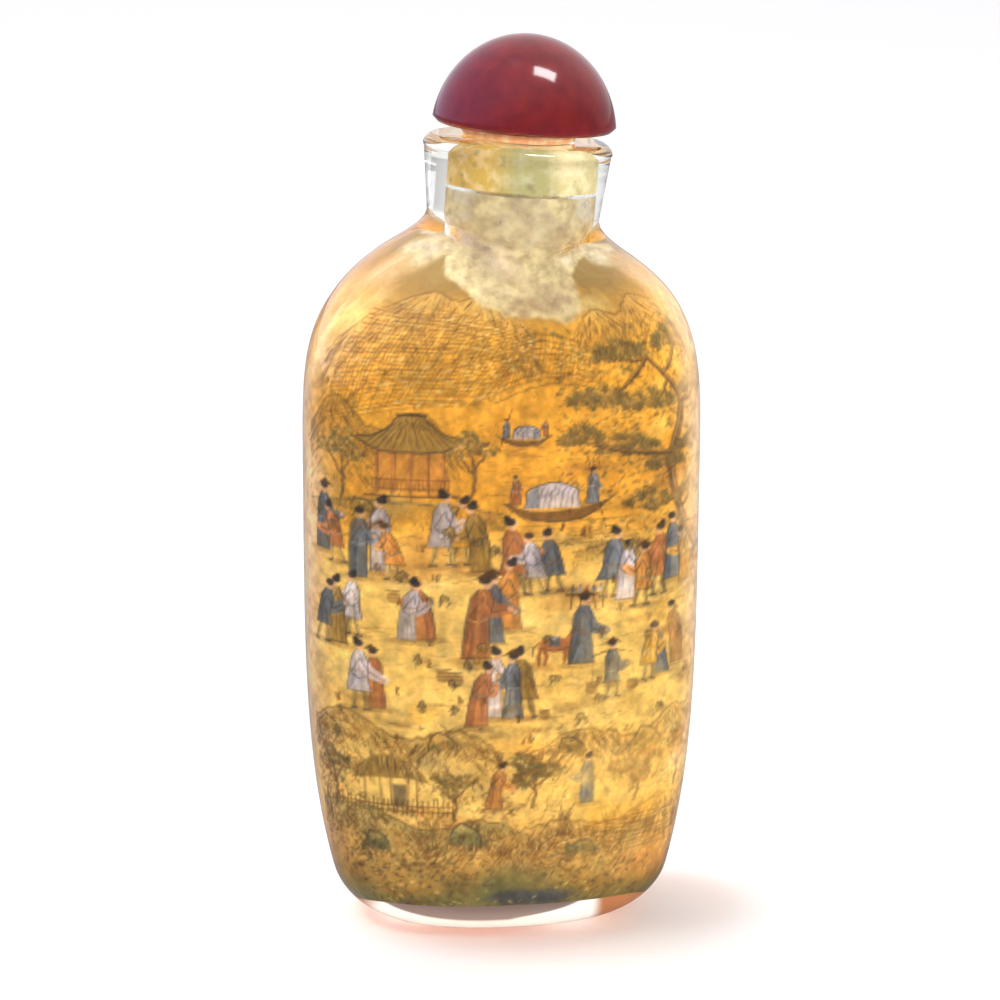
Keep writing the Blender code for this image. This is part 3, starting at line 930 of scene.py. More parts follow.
def boat(art, x, y, size, side=1):
    """A small covered boat with its wake, a pole and a boatman."""
    at = placed(x, y, size, side)
    for step in range(7):
        start = art.draw(-0.8, 0.2)
        level = -0.1 - 0.04 * step
        art.stroke(at(start, level, start + 0.3, level + 0.01, start + 0.6, level), 0.1, "umber", 0.4)
    hull = curve(at(-0.6, 0.12, -0.3, -0.06, 0.25, -0.07, 0.62, 0.16), 6)
    deck = curve(at(0.57, 0.14, 0.2, 0.05, -0.3, 0.04, -0.55, 0.13), 6)
    art.shape(np.vstack([hull, deck]), "umber", 0.9)
    art.stroke(hull, 0.14, "ink", 0.7)
    art.stroke(deck, 0.1, "sand", 0.7)
    hood = curve(at(-0.36, 0.06, -0.31, 0.27, -0.04, 0.34, 0.18, 0.27, 0.24, 0.06), 6)
    art.shape(hood, "lilac", 0.9)
    art.shape(at(-0.36, 0.06, -0.33, 0.22, -0.22, 0.3, -0.2, 0.06), "slate", 0.6)
    for step in range(9):
        lean = -0.28 + 0.06 * step
        line = curve(at(lean, 0.06, lean + 0.02, 0.2, lean + 0.07, 0.3), 4)
        art.stroke(line, 0.1, ("slate", "ink")[step % 2], 0.6)
    art.stroke(hood, 0.12, "ink", 0.75)
    art.stroke(at(0.3, 0.66, 0.52, -0.2), 0.1, ("umber", 0.7), 0.9)
    figure(art, *at(0.38, 0.08), size * 0.42, "slate", side, hat=True)
    figure(art, *at(-0.46, 0.1), size * 0.34, "russet", side)


def pavilion(art, x, y, size):
    """An open pavilion on posts, with an upswept roof of fine tiles."""
    at = placed(x, y, size)
    art.shape(at(-0.38, 0.02, -0.36, 0.5, 0.36, 0.5, 0.38, 0.02), "earth", 0.55)
    for post in (-0.38, -0.2, 0.0, 0.2, 0.38):
        art.stroke(at(post, 0.0, post * 0.95, 0.52), 0.2, "russet", 0.9, 1, 1)
        art.stroke(at(post + 0.02, 0.0, post * 0.95 + 0.02, 0.52), 0.08, "ink", 0.5, 1, 1)
    for rail in (0.06, 0.17):
        art.stroke(at(-0.42, rail, 0.42, rail), 0.11, ("russet", 0.8), 0.8, 1, 1)
    for step in range(22):
        post = -0.42 + 0.04 * step
        art.stroke(at(post, 0.05, post, 0.17), 0.07, "umber", 0.7, 1, 1)
    eaves = curve(at(-0.64, 0.62, -0.35, 0.5, 0.0, 0.48, 0.35, 0.5, 0.64, 0.62), 6)
    ridge = curve(at(0.64, 0.62, 0.3, 0.72, 0.12, 0.9, -0.12, 0.9, -0.3, 0.72, -0.64, 0.62), 6)
    art.shape(np.vstack([eaves, ridge]), ("olive", 1.1), 0.85)
    for step in range(25):
        lean = -0.56 + 0.0467 * step
        line = curve(at(lean, 0.53, lean * 0.55, 0.72, lean * 0.2, 0.89), 4)
        art.stroke(line, 0.08, (("umber", "sand")[step % 2], 0.8), 0.7)
    for line in (eaves, ridge):
        art.stroke(line, 0.15, "ink", 0.7, 1, 1)
    art.stroke(at(-0.16, 0.91, 0.16, 0.91), 0.24, "ink", 0.7, 1, 1)
    art.stroke(at(-0.52, -0.02, 0.52, -0.02), 0.24, "umber", 0.8, 1, 1)
    art.stroke(at(-0.58, -0.1, 0.58, -0.1), 0.18, "sand", 0.8, 1, 1)


def hut(art, x, y, size):
    """A thatched hut behind a fence of sticks."""
    at = placed(x, y, size)
    art.shape(at(-0.4, 0.0, -0.38, 0.4, 0.4, 0.42, 0.42, 0.0), "sand", 0.8)
    art.shape(at(0.05, 0.0, 0.05, 0.32, 0.25, 0.32, 0.25, 0.0), "ink", 0.6)
    for post in (-0.38, -0.12, 0.02, 0.28, 0.4):
        art.stroke(at(post, 0.0, post, 0.42), 0.14, "umber", 0.8, 1, 1)
    roof = curve(at(-0.6, 0.34, -0.34, 0.66, 0.0, 0.78, 0.36, 0.64, 0.62, 0.34), 6)
    art.shape(np.vstack([roof, at(0.3, 0.42, -0.3, 0.4)]), "olive", 0.85)
    for step in range(60):
        across = art.draw(-0.55, 0.55)
        top = 0.74 - 0.42 * abs(across) ** 1.5
        line = at(across * 0.8, top, across, top - art.draw(0.12, 0.34))
        art.stroke(line, 0.09, ("umber", "sand", "ink")[step % 3], 0.6)
    for step in range(26):
        post = -0.95 + 0.075 * step
        art.stroke(at(post, -0.14, post + 0.02, 0.06 + art.draw(0, 0.05)), 0.09, ("umber", 0.8), 0.8, 1, 1)
    for rail in (-0.08, 0.0):
        art.stroke(at(-0.97, rail, 0.95, rail), 0.08, "umber", 0.8, 1, 1)


def rock(art, x, y, width, height, name="olive"):
    """A cut rock with a lit top and hatched sides."""
    angles = np.linspace(0, math.pi, 8)
    reach = 1 + 0.5 * (art.random.rand(8) - 0.5)
    top = np.stack([x + width / 2 * reach * np.cos(angles), y + height * reach * np.sin(angles)], -1)
    art.shape(top, (name, art.draw(0.9, 1.2)), 0.8)
    art.shape(np.vstack([top[2:6], [(x - width * 0.1, y + height * 0.5)]]), "sand", 0.35)
    for step in range(int(width * 12)):
        here = x + art.draw(-0.48, 0.48) * width
        level = y + art.draw(0.0, 0.85) * height * (1 - abs(here - x) / width * 1.3)
        line = [(here, level), (here + 0.1, level - 0.25), (here - 0.1, level - art.draw(0.35, 0.7))]
        art.stroke(line, art.draw(0.08, 0.16), ("umber", "ink", "moss")[step % 3], art.draw(0.3, 0.6))
    for step in range(2):
        art.stroke(top, 0.12, "ink", 0.5)


def bank(art, points, rocks, name="olive"):
    """A shore: a soft edge of earth with tufts and moss along it, and rocks as place, width and height."""
    line = curve(points, 8)
    for step in range(6):
        art.stroke(line - [0, 0.3 * step], 0.6, (name, 1.15 - 0.06 * step), 0.42 - 0.05 * step, 0.3, 0.3)
    art.stroke(line, 0.14, "ink", 0.5)
    for step in range(int(len(line) * 5)):
        x, y = line[int(art.draw(0, len(line)))]
        x, y = x + art.draw(-0.6, 0.6), y + art.draw(-1.3, 0.15)
        tuft = [(x, y), (x + art.draw(-0.2, 0.2), y + art.draw(0.2, 0.5))]
        art.stroke(tuft, 0.09, ("moss", "umber", "straw")[step % 3], 0.6)
    rocks_at(art, rocks, name)


def reeds(art, x, y, count, height, name="olive"):
    """A clump of bending reeds."""
    for step in range(count):
        foot = x + art.draw(-0.5, 0.5) * count * 0.16
        tall, bend = height * art.draw(0.6, 1.0), art.draw(-0.5, 0.5)
        middle, tip = (foot + bend * 0.3, y + tall * 0.6), (foot + bend * tall * 0.6, y + tall)
        art.stroke(curve([(foot, y), middle, tip], 4), 0.12, (name, art.draw(0.6, 1.3)), 0.75, 0.9, 0.2)


def water(art, x, y, width, height, count):
    """Short level strokes of water."""
    for step in range(count):
        left, level = x + art.draw(-0.5, 0.5) * width, y + art.draw(-0.5, 0.5) * height
        line = curve([(left, level), (left + 0.5, level + 0.08), (left + art.draw(0.8, 1.8), level)], 3)
        art.stroke(line, 0.09, ("umber", 1.1), 0.4)


def clutter(art, count, low_y, high_y):
    """Tufts, stones, tracks and shadows between the people."""
    for step in range(count):
        x, y = art.draw(-18, 18), art.draw(low_y, high_y)
        kind = step % 5
        if kind == 0:
            reeds(art, x, y, 3, 0.8, "umber")
        elif kind == 1:
            rock(art, x, y, art.draw(0.5, 1.1), art.draw(0.3, 0.6))
        elif kind == 2:
            art.wash(x, y, art.draw(0.8, 2.2), 0.4, "umber", 0.3, 0.8, 1.0)
        else:
            line = curve([(x, y), (x + 0.8, y + art.draw(-0.3, 0.3)), (x + art.draw(1.2, 2.6), y)], 4)
            art.stroke(line, 0.13, ("umber", "olive")[kind % 2], 0.4)


ROBES = ("slate", "russet", "lilac", "earth", "slate", "gold", "lilac", "olive")


def crowd(art, groups):
    """People who stand together. Each group is its middle, its height up the picture and its number."""
    turn = 0
    for x, y, count in groups:
        places = []
        for step in range(count):
            places.append((x + (step - (count - 1) / 2) * art.draw(1.3, 1.9), y + art.draw(-0.8, 0.8)))
        for place_x, place_y in sorted(places, key=lambda place: -place[1]):
            trim = ROBES[int(art.draw(0, 3))]
            side = 1 if place_x < x + art.draw(-0.4, 0.4) else -1
            hat, stoop = art.draw(0, 1) > 0.8, art.draw(-0.05, 0.22)
            height, robe = art.draw(5.4, 7.2), ROBES[turn % len(ROBES)]
            figure(art, place_x, place_y, height, robe, side, trim, hat, stoop)
            turn += 1


def rocks_at(art, rocks, name="olive"):
    """Rocks, each its place, width and height."""
    for x, y, width, height in rocks:
        rock(art, x, y, width, height, name)


def paint_front(art):
    """The front picture: hills and fields, an old pine, a pavilion and boats, and people by the water."""
    paint_ground(art)
    slope(art, [(-18, 50), (-15, 53.5), (-11, 55.6), (-7, 55.0), (-3, 55.6), (2, 52)], 46, "straw")
    slope(art, [(6, 51.5), (9, 53.6), (12, 53.0), (15, 54.2), (19, 52)], 47, "straw", 0.6)
    terraces(art, [(-17, 43.5), (-3, 45.5), (3.5, 52), (-16, 54.5)], 26, 40)
    terraces(art, [(-2, 46), (7, 47), (8, 50.5), (0, 52)], 9, 24)
    slope(art, [(-19, 43), (-16, 46), (-12, 43.5), (-8, 45), (-5, 41.5)], 37, "olive", 0.6)
    leafy_tree(art, -15.2, 36.5, 5.4, 2.6)
    pavilion(art, -9.0, 38.0, 7.6)
    leafy_tree(art, -3.9, 37.6, 4.6, 2.2)
    rocks = [(-12.9, 36.2, 2.4, 1.3), (-4.6, 36.0, 1.8, 1.0)]
    bank(art, [(-19, 36.4), (-13, 37.2), (-6, 37.0), (-1, 36.2)], rocks)
    foliage(art, 3.5, 19, 33, 52, 1500)
    trunk = [(19, 30), (15.5, 35), (14.2, 40), (15.4, 45), (12.5, 49)]
    boughs = [(9.6, 49.4, 2.8), (16.4, 49.8, 2.6), (7.2, 45.6, 2.8), (12.2, 45.0, 2.4), (17.5, 45.6, 2.0)]
    boughs += [(9.8, 41.4, 2.8), (13.6, 39.6, 2.2), (17.2, 40.8, 2.2), (5.6, 42.4, 1.8)]
    boughs += [(11.8, 36.2, 2.2), (16.6, 36.4, 2.2)]
    pine(art, trunk, 0.9, boughs)
    # This peach wash and the one after the water are painted light that brightens the right edge
    art.wash(19.5, 38, 2.6, 18, "peach", 0.75, 0.5)
    water(art, 2, 38, 12, 9, 60)
    art.wash(19.5, 38, 2.0, 18, "peach", 0.5, 0.4)
    boat(art, 3.6, 36.2, 8.0)
    boat(art, 0.6, 42.6, 4.0, -1)
    bank(art, [(5, 32.6), (9, 33.4), (14, 32.6), (19, 33.8)], [(8.6, 32.4, 2.2, 1.3), (17, 32.6, 2.6, 1.5)])
    leafy_tree(art, 18.0, 24.5, 6.0, 2.2)
    crowd(art, [(-16.2, 31.4, 2), (-11.6, 30.6, 3), (-4.6, 31.6, 3), (1.6, 29.8, 3)])
    table_and_wares(art, 6.2, 27.6, 3.2)
    crowd(art, [(10.6, 27.8, 4), (15.4, 29.2, 2), (-15.6, 24.6, 3), (-8.6, 24.8, 2), (-1.4, 25.4, 2)])
    figure(art, -3.4, 23.2, 8.2, "russet", 1, "sand", True, 0.12)
    horse(art, 3.4, 22.6, 3.6)
    crowd(art, [(5.8, 22.4, 1), (-12.8, 19.0, 2), (13.4, 20.6, 3), (-1.2, 17.4, 4)])
    porter(art, 8.6, 19.2, 5.4, "slate")
    for x, y in ((-6.2, 21.2), (-5.2, 20.8), (12.0, 24.0), (-10.4, 28.2), (2.6, 17.6), (16.8, 20.0)):
        basket(art, x, y, art.draw(0.8, 1.3))
    clutter(art, 150, 15, 36)
    slope(art, [(-19, 16.5), (-15, 18.2), (-10, 16.0), (-5, 16.8), (-1, 14.6)], 11.5, "olive", 0.6)
    slope(art, [(1, 14.4), (6, 16.6), (11, 15.4), (15, 17.4), (19, 16.2)], 11, "straw", 0.65)
    rocks_at(art, [(-17, 15.4, 3.0, 1.7), (-6.4, 15.0, 2.8, 1.4), (5, 14.4, 2.4, 1.4), (12, 14, 3.6, 1.8)])
    foliage(art, -19, 0, 4, 17, 1400, ("olive", "umber", "sand", "moss", "russet"))
    foliage(art, 0, 19, 4, 17, 800, ("olive", "sand", "pale", "earth", "russet"))
    leafy_tree(art, -16.8, 9.0, 4.2, 2.2)
    hut(art, -11.2, 9.8, 6.0)
    leafy_tree(art, -5.6, 8.6, 3.4, 2.2)
    leafy_tree(art, 1.6, 9.6, 3.4, 2.8, ("olive", "umber", "moss"))
    figure(art, -1.9, 9.4, 4.8, "earth", 1, hat=True, stoop=0.2)
    figure(art, 6.6, 9.6, 4.8, "slate", -1)
    leafy_tree(art, 11.4, 9.4, 3.2, 2.6, ("olive", "russet", "umber"))
    leafy_tree(art, 16.2, 9.8, 3.6, 2.4, ("olive", "russet", "gold", "umber"))
    for x, count in ((-18, 9), (-8.0, 10), (-3.4, 12), (4.4, 12), (9.0, 10), (13.6, 12), (17.6, 9)):
        reeds(art, x, art.draw(5.6, 7.4), count, art.draw(2.6, 4.2), ("umber", "olive", "moss")[count % 3])
    slope(art, [(-19, 9.0), (-14, 9.6), (-8, 7.6), (-3, 8.6), (2, 6.8)], 3.0, "moss", 0.6)
    slope(art, [(-2, 6.6), (4, 8.2), (9, 7.6), (14, 9.2), (19, 8.4)], 3.0, "straw", 0.6)
    art.wash(12, 8.4, 7, 1.8, "gold", 0.5, 0.8, 2.0)
    art.wash(10, 12.6, 7, 1.6, "sand", 0.4, 0.8, 2.0)
    terraces(art, [(1, 3.4), (19, 4.4), (19, 7.6), (3, 6.8)], 12, 16)
    rocks_at(art, [(-4.5, 6.2, 3.6, 1.9), (-13, 5.4, 3.0, 1.5), (6.5, 5.0, 3.4, 1.4)], "moss")
    foliage(art, -19, 19, 0, 7, 1500, ("olive", "moss", "umber", "ink"))
    art.wash(-1, 1.4, 7, 2.6, "moss", 0.85)
    art.wash(1.4, 1.0, 6.0, 0.9, ("slate", 0.7), 0.8)
    art.wash(14, 3.2, 6, 2.4, ("earth", 1.12), 0.5)
    foliage(art, -14, 14, 0, 4, 350, ("olive", "moss", "sand", "ink"))
    art.wash(12, 14, 9, 12, ("sand", 1.05), 0.3, 0.9, 2.0)
    # Painted light: a last peach wash that brightens the right edge
    art.wash(19.0, 30, 4.0, 26, "peach", 0.7, 0.5)


def paint_back(art):
    """The back picture: an old pine, rocks and a pavilion by a garden lake, with a few people."""
    paint_ground(art)
    slope(art, [(-18, 50), (-12, 55), (-7, 52), (-2, 57), (4, 54), (10, 58), (18, 52)], 44, "straw")
    terraces(art, [(-2, 44), (15, 43), (16, 50), (0, 53)], 18, 34)
    pavilion(art, 8.0, 34.0, 8.0)
    leafy_tree(art, 14.6, 33, 6.0, 2.8)
    leafy_tree(art, 2.4, 33, 4.4, 2.0)
    bank(art, [(0, 32.4), (6, 33.0), (12, 32.6), (19, 33.6)], [(3.0, 32.0, 2.4, 1.3), (15, 32.0, 3, 1.7)])
    foliage(art, -19, -7, 33, 50, 900)
    trunk = [(-19, 27), (-15, 33), (-13, 39), (-15, 45)]
    pine(art, trunk, 0.9, [(-11, 44.6, 2.8), (-16, 47, 2.6), (-9.5, 40, 2.6), (-12, 36, 2.4), (-17, 40, 2.0)])
    rocks = [(-19.4, 25.8, 4.4, 2.4), (-15, 25.8, 2, 1.1)]
    bank(art, [(-22, 27.2), (-19, 27.6), (-15, 26.8), (-11, 26.0)], rocks)
    water(art, -1, 30, 20, 10, 90)
    boat(art, -3.6, 33.4, 7.0, -1)
    boat(art, -6.0, 39.6, 3.8)
    crowd(art, [(-13, 24, 2), (-5, 22.4, 3), (4, 24.6, 3), (12, 23.6, 3)])
    horse(art, -9.4, 18.4, 3.6, -1, "umber")
    crowd(art, [(-6.6, 17.8, 1), (2, 17.4, 2), (9, 18.2, 3)])
    table_and_wares(art, 15.6, 18.2, 3.0)
    bank(art, [(-19, 15.6), (-8, 16.4), (2, 14.8), (19, 16.6)], [(-13, 14.6, 3.4, 2.0), (7, 14.2, 3.2, 1.8)])
    foliage(art, -19, 19, 3, 15, 1500, ("olive", "umber", "sand", "moss", "russet"))
    hut(art, 10.6, 8.8, 6.0)
    leafy_tree(art, -7.0, 8.6, 3.6, 2.4)
    for x in (-16, -10, -2, 3, 15, 17.5):
        reeds(art, x, art.draw(5.0, 7.4), 12, art.draw(3.0, 5.0))
    bank(art, [(-19, 7.0), (-6, 8.0), (5, 6.4), (19, 7.6)], [(-11, 5.4, 3.6, 1.9), (1, 5.0, 3.4, 1.8)])
    foliage(art, -19, 19, 0, 7, 800, ("olive", "moss", "umber"))
    art.wash(1, 1.4, 8, 2.6, "moss", 0.85)


def film_rows(count):
    """Rows of the wall that takes the paint, from the floor's edge up into the throat, evenly spaced."""
    floor = inside_floor(np.linspace(FILM_START, math.pi / 2, 200), FILM_DEPTH)
    walls = inside(np.linspace(FLOOR + CAVITY_ROUNDING, NECK_TOP - PLUG_DEPTH, 2000), FILM_DEPTH)
    rows = np.hstack([floor, walls[:, 1:]])
    steps = np.hypot(np.diff(rows[0]), (np.diff(rows[1]) + np.diff(rows[2])) / 2)
    way = np.concatenate([[0.0], np.cumsum(steps)])
    return np.array([np.interp(np.linspace(0, way[-1], count), way, row) for row in rows]), way[-1]


def paint_panel(name, start, palette, picture, material, seed):
    """A film of paint over one half of the inner wall, from the left side as one faces it."""
    halves = np.linspace(0.0, math.pi, RING_SAMPLES)
    widest = ring_points(inside(np.full(halves.size, WIDEST_HEIGHT), FILM_DEPTH), halves)
    width = np.linalg.norm(np.diff(widest, axis=0), axis=1).sum()
    height = film_rows(2)[1]
    columns, rows = round(width / palette.cell), round(height / palette.cell)
    levels = film_rows(rows + 1)[0]
    points = np.empty((rows + 1, columns + 1, 3))
    for level in range(rows + 1):
        ring = ring_points(np.repeat(levels[:, level : level + 1], halves.size, 1), start + halves)
        way = np.concatenate([[0.0], np.cumsum(np.linalg.norm(np.diff(ring, axis=0), axis=1))])
        even = np.linspace(0, way[-1], columns + 1)
        points[level] = np.stack([np.interp(even, way, ring[:, axis]) for axis in range(3)], -1)
    art = Painting(width / MILLIMETRE, height / MILLIMETRE, columns, rows, palette, seed)
    picture(art)
    art.grain()
    bare = throat_share(art)
    mesh, column, row = grid_mesh(name, columns, rows)
    mesh.vertices.foreach_set("co", points[row, column].ravel())
    colours = np.concatenate([linear(art.colour), bare[..., None]], -1)
    layer = mesh.color_attributes.new("paint", "FLOAT_COLOR", "POINT")
    layer.data.foreach_set("color", colours[row, column].ravel())
    # The panel's own flat map
    flat = np.stack([column / columns, row / rows], -1) * (1 - 2 * MAP_MARGIN) + MAP_MARGIN
    mesh.uv_layers.new(name="OFBake").data.foreach_set("uv", flat[corner_points(mesh)].ravel())
    add_piece(name, mesh, [material], "clear_glass")


# The bare throat's left and right edge at heights up the wall, in millimetres on the flat picture
THROAT_HEIGHTS = (53.0, 54.0, 55.5, 57.0, 58.2, 59.2, 60.0)
THROAT_LEFT = (1.0, -2.5, -6.0, -9.5, -14.0, -22.0, -40.0)
THROAT_RIGHT = (7.5, 8.0, 8.8, 9.8, 12.0, 20.0, 40.0)
THROAT_FOOT = 52.8
BARE_SIDES = (15.0, 56.5)  # beyond this far from the middle, and above this height, the sides are bare too


def throat_share(art):
    """Where the picture gives way to the bare, stained wall of the throat, from 0 to 1."""
    uneven = art.y[:, None] + 1.6 * (art.cloud(2.4) - 0.5)
    left, right = (np.interp(uneven, THROAT_HEIGHTS, edge) for edge in (THROAT_LEFT, THROAT_RIGHT))
    x = art.x[None, :]
    middle = smooth_step((x - left) / 2 + 0.5) * smooth_step((right - x) / 1.2 + 0.5)
    sides = smooth_step((np.abs(x) - BARE_SIDES[0]) / 3) * smooth_step((uneven - BARE_SIDES[1]) / 1.5)
    return np.maximum(middle * smooth_step(uneven - THROAT_FOOT), sides)


class SNUFF_OT_bottle_glass(bpy.types.Operator):
    """Make the hollow glass bottle, polished outside and ground inside"""

    bl_idname = "snuff.bottle_glass"
    bl_label = "Bottle Glass"

    def execute(self, context):
        look = context.scene.snuff_glass
        quarter = math.pi / 2
        width, depth, exponent = outside(np.array([FOOT_RISE]))[1:4, 0]
        foot = FOOT_INSET + FOOT_RIM
        reach = np.linspace(0, 1, 12)
        recess = np.array([
            FOOT_RECESS * (1 - smooth_step(1 - (1 - reach) * (depth - foot) / RECESS_SLOPE)),
            reach * (width - foot), reach * (depth - foot),
            np.full_like(reach, exponent), np.zeros_like(reach),
        ])
        turns = np.linspace(0, quarter, 16)
        edge = outside(FOOT_RISE * (1 - np.cos(turns)), FOOT_INSET * (1 - np.sin(turns)))
        climb = BODY_HEIGHT - WIDEST_HEIGHT
        sides = outside(np.linspace(FOOT_RISE, WIDEST_HEIGHT, 36)[1:])
        shoulder = outside(WIDEST_HEIGHT + climb * np.sin(np.linspace(0, quarter, 56)[1:]))
        neck = outside(np.linspace(BODY_HEIGHT, NECK_TOP - RIM_ROUNDING, 12)[1:])
        turns = np.linspace(0, quarter, 9)
        falling, rising = 1 - np.cos(turns), 1 - np.sin(turns)
        rim_radius = neck_radius(NECK_TOP) - RIM_ROUNDING * falling
        rim = round_rows(NECK_TOP - RIM_ROUNDING * rising, rim_radius)[:, 1:]
        mouth_radius = BORE_RADIUS + MOUTH_ROUNDING * rising
        mouth = round_rows(NECK_TOP - MOUTH_ROUNDING * falling, mouth_radius, BORE_OFFSET)
        bore = inside(np.linspace(NECK_TOP - MOUTH_ROUNDING, BODY_HEIGHT, 14)[1:])
        climb -= WALL
        inner_shoulder = inside(WIDEST_HEIGHT + climb * np.sin(np.linspace(quarter, 0, 56)))
        walls = inside(np.linspace(WIDEST_HEIGHT, FLOOR + CAVITY_ROUNDING, 32)[1:])
        floor = inside_floor(np.linspace(quarter, 0, 20)[1:])
        polished = np.hstack([recess, edge, sides, shoulder, neck, rim, mouth])
        rows = np.hstack([polished, bore, inner_shoulder, walls, floor])
        mesh, column, row = grid_mesh("bottle_glass", AROUND, rows.shape[1] - 1)
        points = ring_points(rows[:, row], math.tau * column / AROUND)
        mesh.vertices.foreach_set("co", points.ravel())
        lowest = row[corner_points(mesh)].reshape(-1, 4).min(1)
        ground = lowest >= polished.shape[1] - 1
        # The frost of the floor runs up the walls by one row of faces
        frosted = (lowest < recess.shape[1]) | (lowest >= rows.shape[1] - floor.shape[1] - 2)
        mesh.polygons.foreach_set("material_index", np.where(frosted, 2, ground).astype(np.int32))
        bm = bmesh.new()
        bm.from_mesh(mesh)
        weld(bm)
        finished(bm, mesh)
        materials = [polished_glass(look), ground_glass(look), frosted_glass(look)]
        add_piece("bottle_glass", mesh, materials, "clear_glass", "bottle")
        return {"FINISHED"}


class SNUFF_OT_painting(bpy.types.Operator):
    """Paint the pictures on the inner wall, front and back"""

    bl_idname = "snuff.painting"
    bl_label = "Inner Painting"

    def execute(self, context):
        palette = context.scene.snuff_paint
        film = painted_film(palette)
        paint_panel("painting_front", math.pi, palette, paint_front, film, palette.seed)
        paint_panel("painting_back", 0.0, palette, paint_back, film, palette.seed + 1)
        return {"FINISHED"}


def stopper_place():
    """From the stopper's own upright frame on the neck's axis to its place in the leaning neck."""
    seat = leaned(np.array([[0.0, 0.0, NECK_TOP]]))[0]
    return Matrix.Translation(seat) @ Matrix.Rotation(NECK_LEAN, 4, "Y")


def turned(name, profile, steps, offset=0.0):
    """A closed turned solid from a profile of radius and height that starts and ends on the axis."""
    bm = bmesh.new()
    points = [bm.verts.new((radius, 0.0, z)) for radius, z in profile]
    line = [bm.edges.new(pair) for pair in zip(points, points[1:])]
    bmesh.ops.spin(
        bm, geom=points + line, cent=(0, 0, 0), axis=(0, 0, 1), angle=math.tau, steps=steps, use_merge=True
    )
    weld(bm)
    place = stopper_place() @ Matrix.Translation((offset, 0.0, 0.0))
    bmesh.ops.transform(bm, matrix=place, verts=bm.verts)
    return finished(bm, name)


def arc(middle_radius, middle_z, size, start, end, count=6):
    """Points of a rounded edge, its turn in degrees."""
    turns = np.radians(np.linspace(start, end, count))
    return [(middle_radius + size * math.cos(turn), middle_z + size * math.sin(turn)) for turn in turns]


class SNUFF_OT_stopper_cap(bpy.types.Operator):
    """Make the domed red cap"""

    bl_idname = "snuff.stopper_cap"
    bl_label = "Stopper Cap"

    def execute(self, context):
        across = CAP_RADIUS / math.sin(CAP_TURN)
        tall = (CAP_HEIGHT - CAP_CHAMFER) / (1 - math.cos(CAP_TURN))
        turns = np.linspace(0, CAP_TURN, 48)
        dome = [(across * math.sin(turn), CAP_HEIGHT - tall * (1 - math.cos(turn))) for turn in turns]
        base = [(CAP_RADIUS - CAP_CHAMFER, 0.0), (CAP_RADIUS * 0.6, 0.0), (0.0, 0.0)]
        profile = [(radius, z + CAP_SEAT) for radius, z in dome + base]
        mesh = turned("stopper_cap_red", profile, 128, CAP_OFFSET)
        look = context.scene.snuff_stopper
        add_piece("stopper_cap_red", mesh, [red_cap_glass(look)], "red_cap", "stopper_cap")
        return {"FINISHED"}


class SNUFF_OT_stopper_collar(bpy.types.Operator):
    """Make the thin peach collar between the cap and the rim"""

    bl_idname = "snuff.stopper_collar"
    bl_label = "Stopper Collar"

    def execute(self, context):
        low, high = TOUCH, CAP_SEAT - TOUCH
        round_size = (high - low) / 2
        edge = arc(COLLAR_RADIUS - round_size, (low + high) / 2, round_size, -90, 90, 12)
        mesh = turned("stopper_collar_disc", [(0.0, low), *edge, (0.0, high)], 96)
        look = context.scene.snuff_stopper
        add_piece("stopper_collar_disc", mesh, [collar_plastic(look)], "peach_collar", "stopper_collar")
        return {"FINISHED"}


class SNUFF_OT_stopper_plug(bpy.types.Operator):
    """Make the plug in the bore, with the glue that wets it to the glass"""

    bl_idname = "snuff.stopper_plug"
    bl_label = "Stopper Plug"

    def execute(self, context):
        radius = BORE_RADIUS + FILM_DEPTH
        edge = arc(radius - PLUG_EDGE, -PLUG_DEPTH + PLUG_EDGE, PLUG_EDGE, -90, 0)
        profile = [(0.0, -PLUG_DEPTH), *edge, (radius, -MOUTH_ROUNDING), (0.0, -MOUTH_ROUNDING)]
        mesh = turned("stopper_plug_body", profile, 96, BORE_OFFSET)
        look = context.scene.snuff_stopper
        add_piece("stopper_plug_body", mesh, [plug_plastic(look)], "pale_plug", "stopper_plug")
        return {"FINISHED"}


class SNUFF_OT_stage(bpy.types.Operator):
    """Make the white table, the lamps, the surroundings and the camera"""

    bl_idname = "snuff.stage"
    bl_label = "Stage"

    def execute(self, context):
        look = context.scene.snuff_stage
        make_table(look)
        make_camera(context.scene, look)
        make_surroundings(context.scene, look)
        make_lamps(context.scene, look)
        return {"FINISHED"}


def make_table(look):
    """The white table top."""
    bm = bmesh.new()
    bmesh.ops.create_grid(bm, x_segments=1, y_segments=1, size=look.floor_width / 2)
    mesh = finished(bm, "table")
    made, nodes, shader = new_material("white_table")
    # The glass reflects a greyer table than the one that is seen
    colour = nodes.blend(in_reflections(nodes), (0.97, 0.965, 0.97), (0.55, 0.53, 0.56))
    nodes.fill(shader, Base_Color=colour, Roughness=0.6, Specular_IOR_Level=0.2)
    mesh.materials.append(made)
    table = bpy.data.objects.new("table", mesh)
    bpy.context.scene.collection.objects.link(table)


# The photograph's angle
VIEW_SIDE = math.radians(-8)
VIEW_TARGET = Vector((-0.00009, 0.0, 0.0377))
VIEW_ROLL = math.radians(0.3)
SENSOR_WIDTH = 36.0


def make_camera(scene, look):
    """The camera at the photograph's angle."""
    data = bpy.data.cameras.new("camera")
    data.sensor_width = SENSOR_WIDTH
    data.lens = look.lens
    data.clip_start = 0.01
    camera = bpy.data.objects.new("camera", data)
    scene.collection.objects.link(camera)
    place = Vector((look.distance * math.sin(VIEW_SIDE), -look.distance * math.cos(VIEW_SIDE), look.height))
    facing = (VIEW_TARGET - place).to_track_quat("-Z", "Y").to_matrix().to_4x4()
    camera.matrix_world = Matrix.Translation(place) @ facing @ Matrix.Rotation(VIEW_ROLL, 4, "Z")
    scene.camera = camera


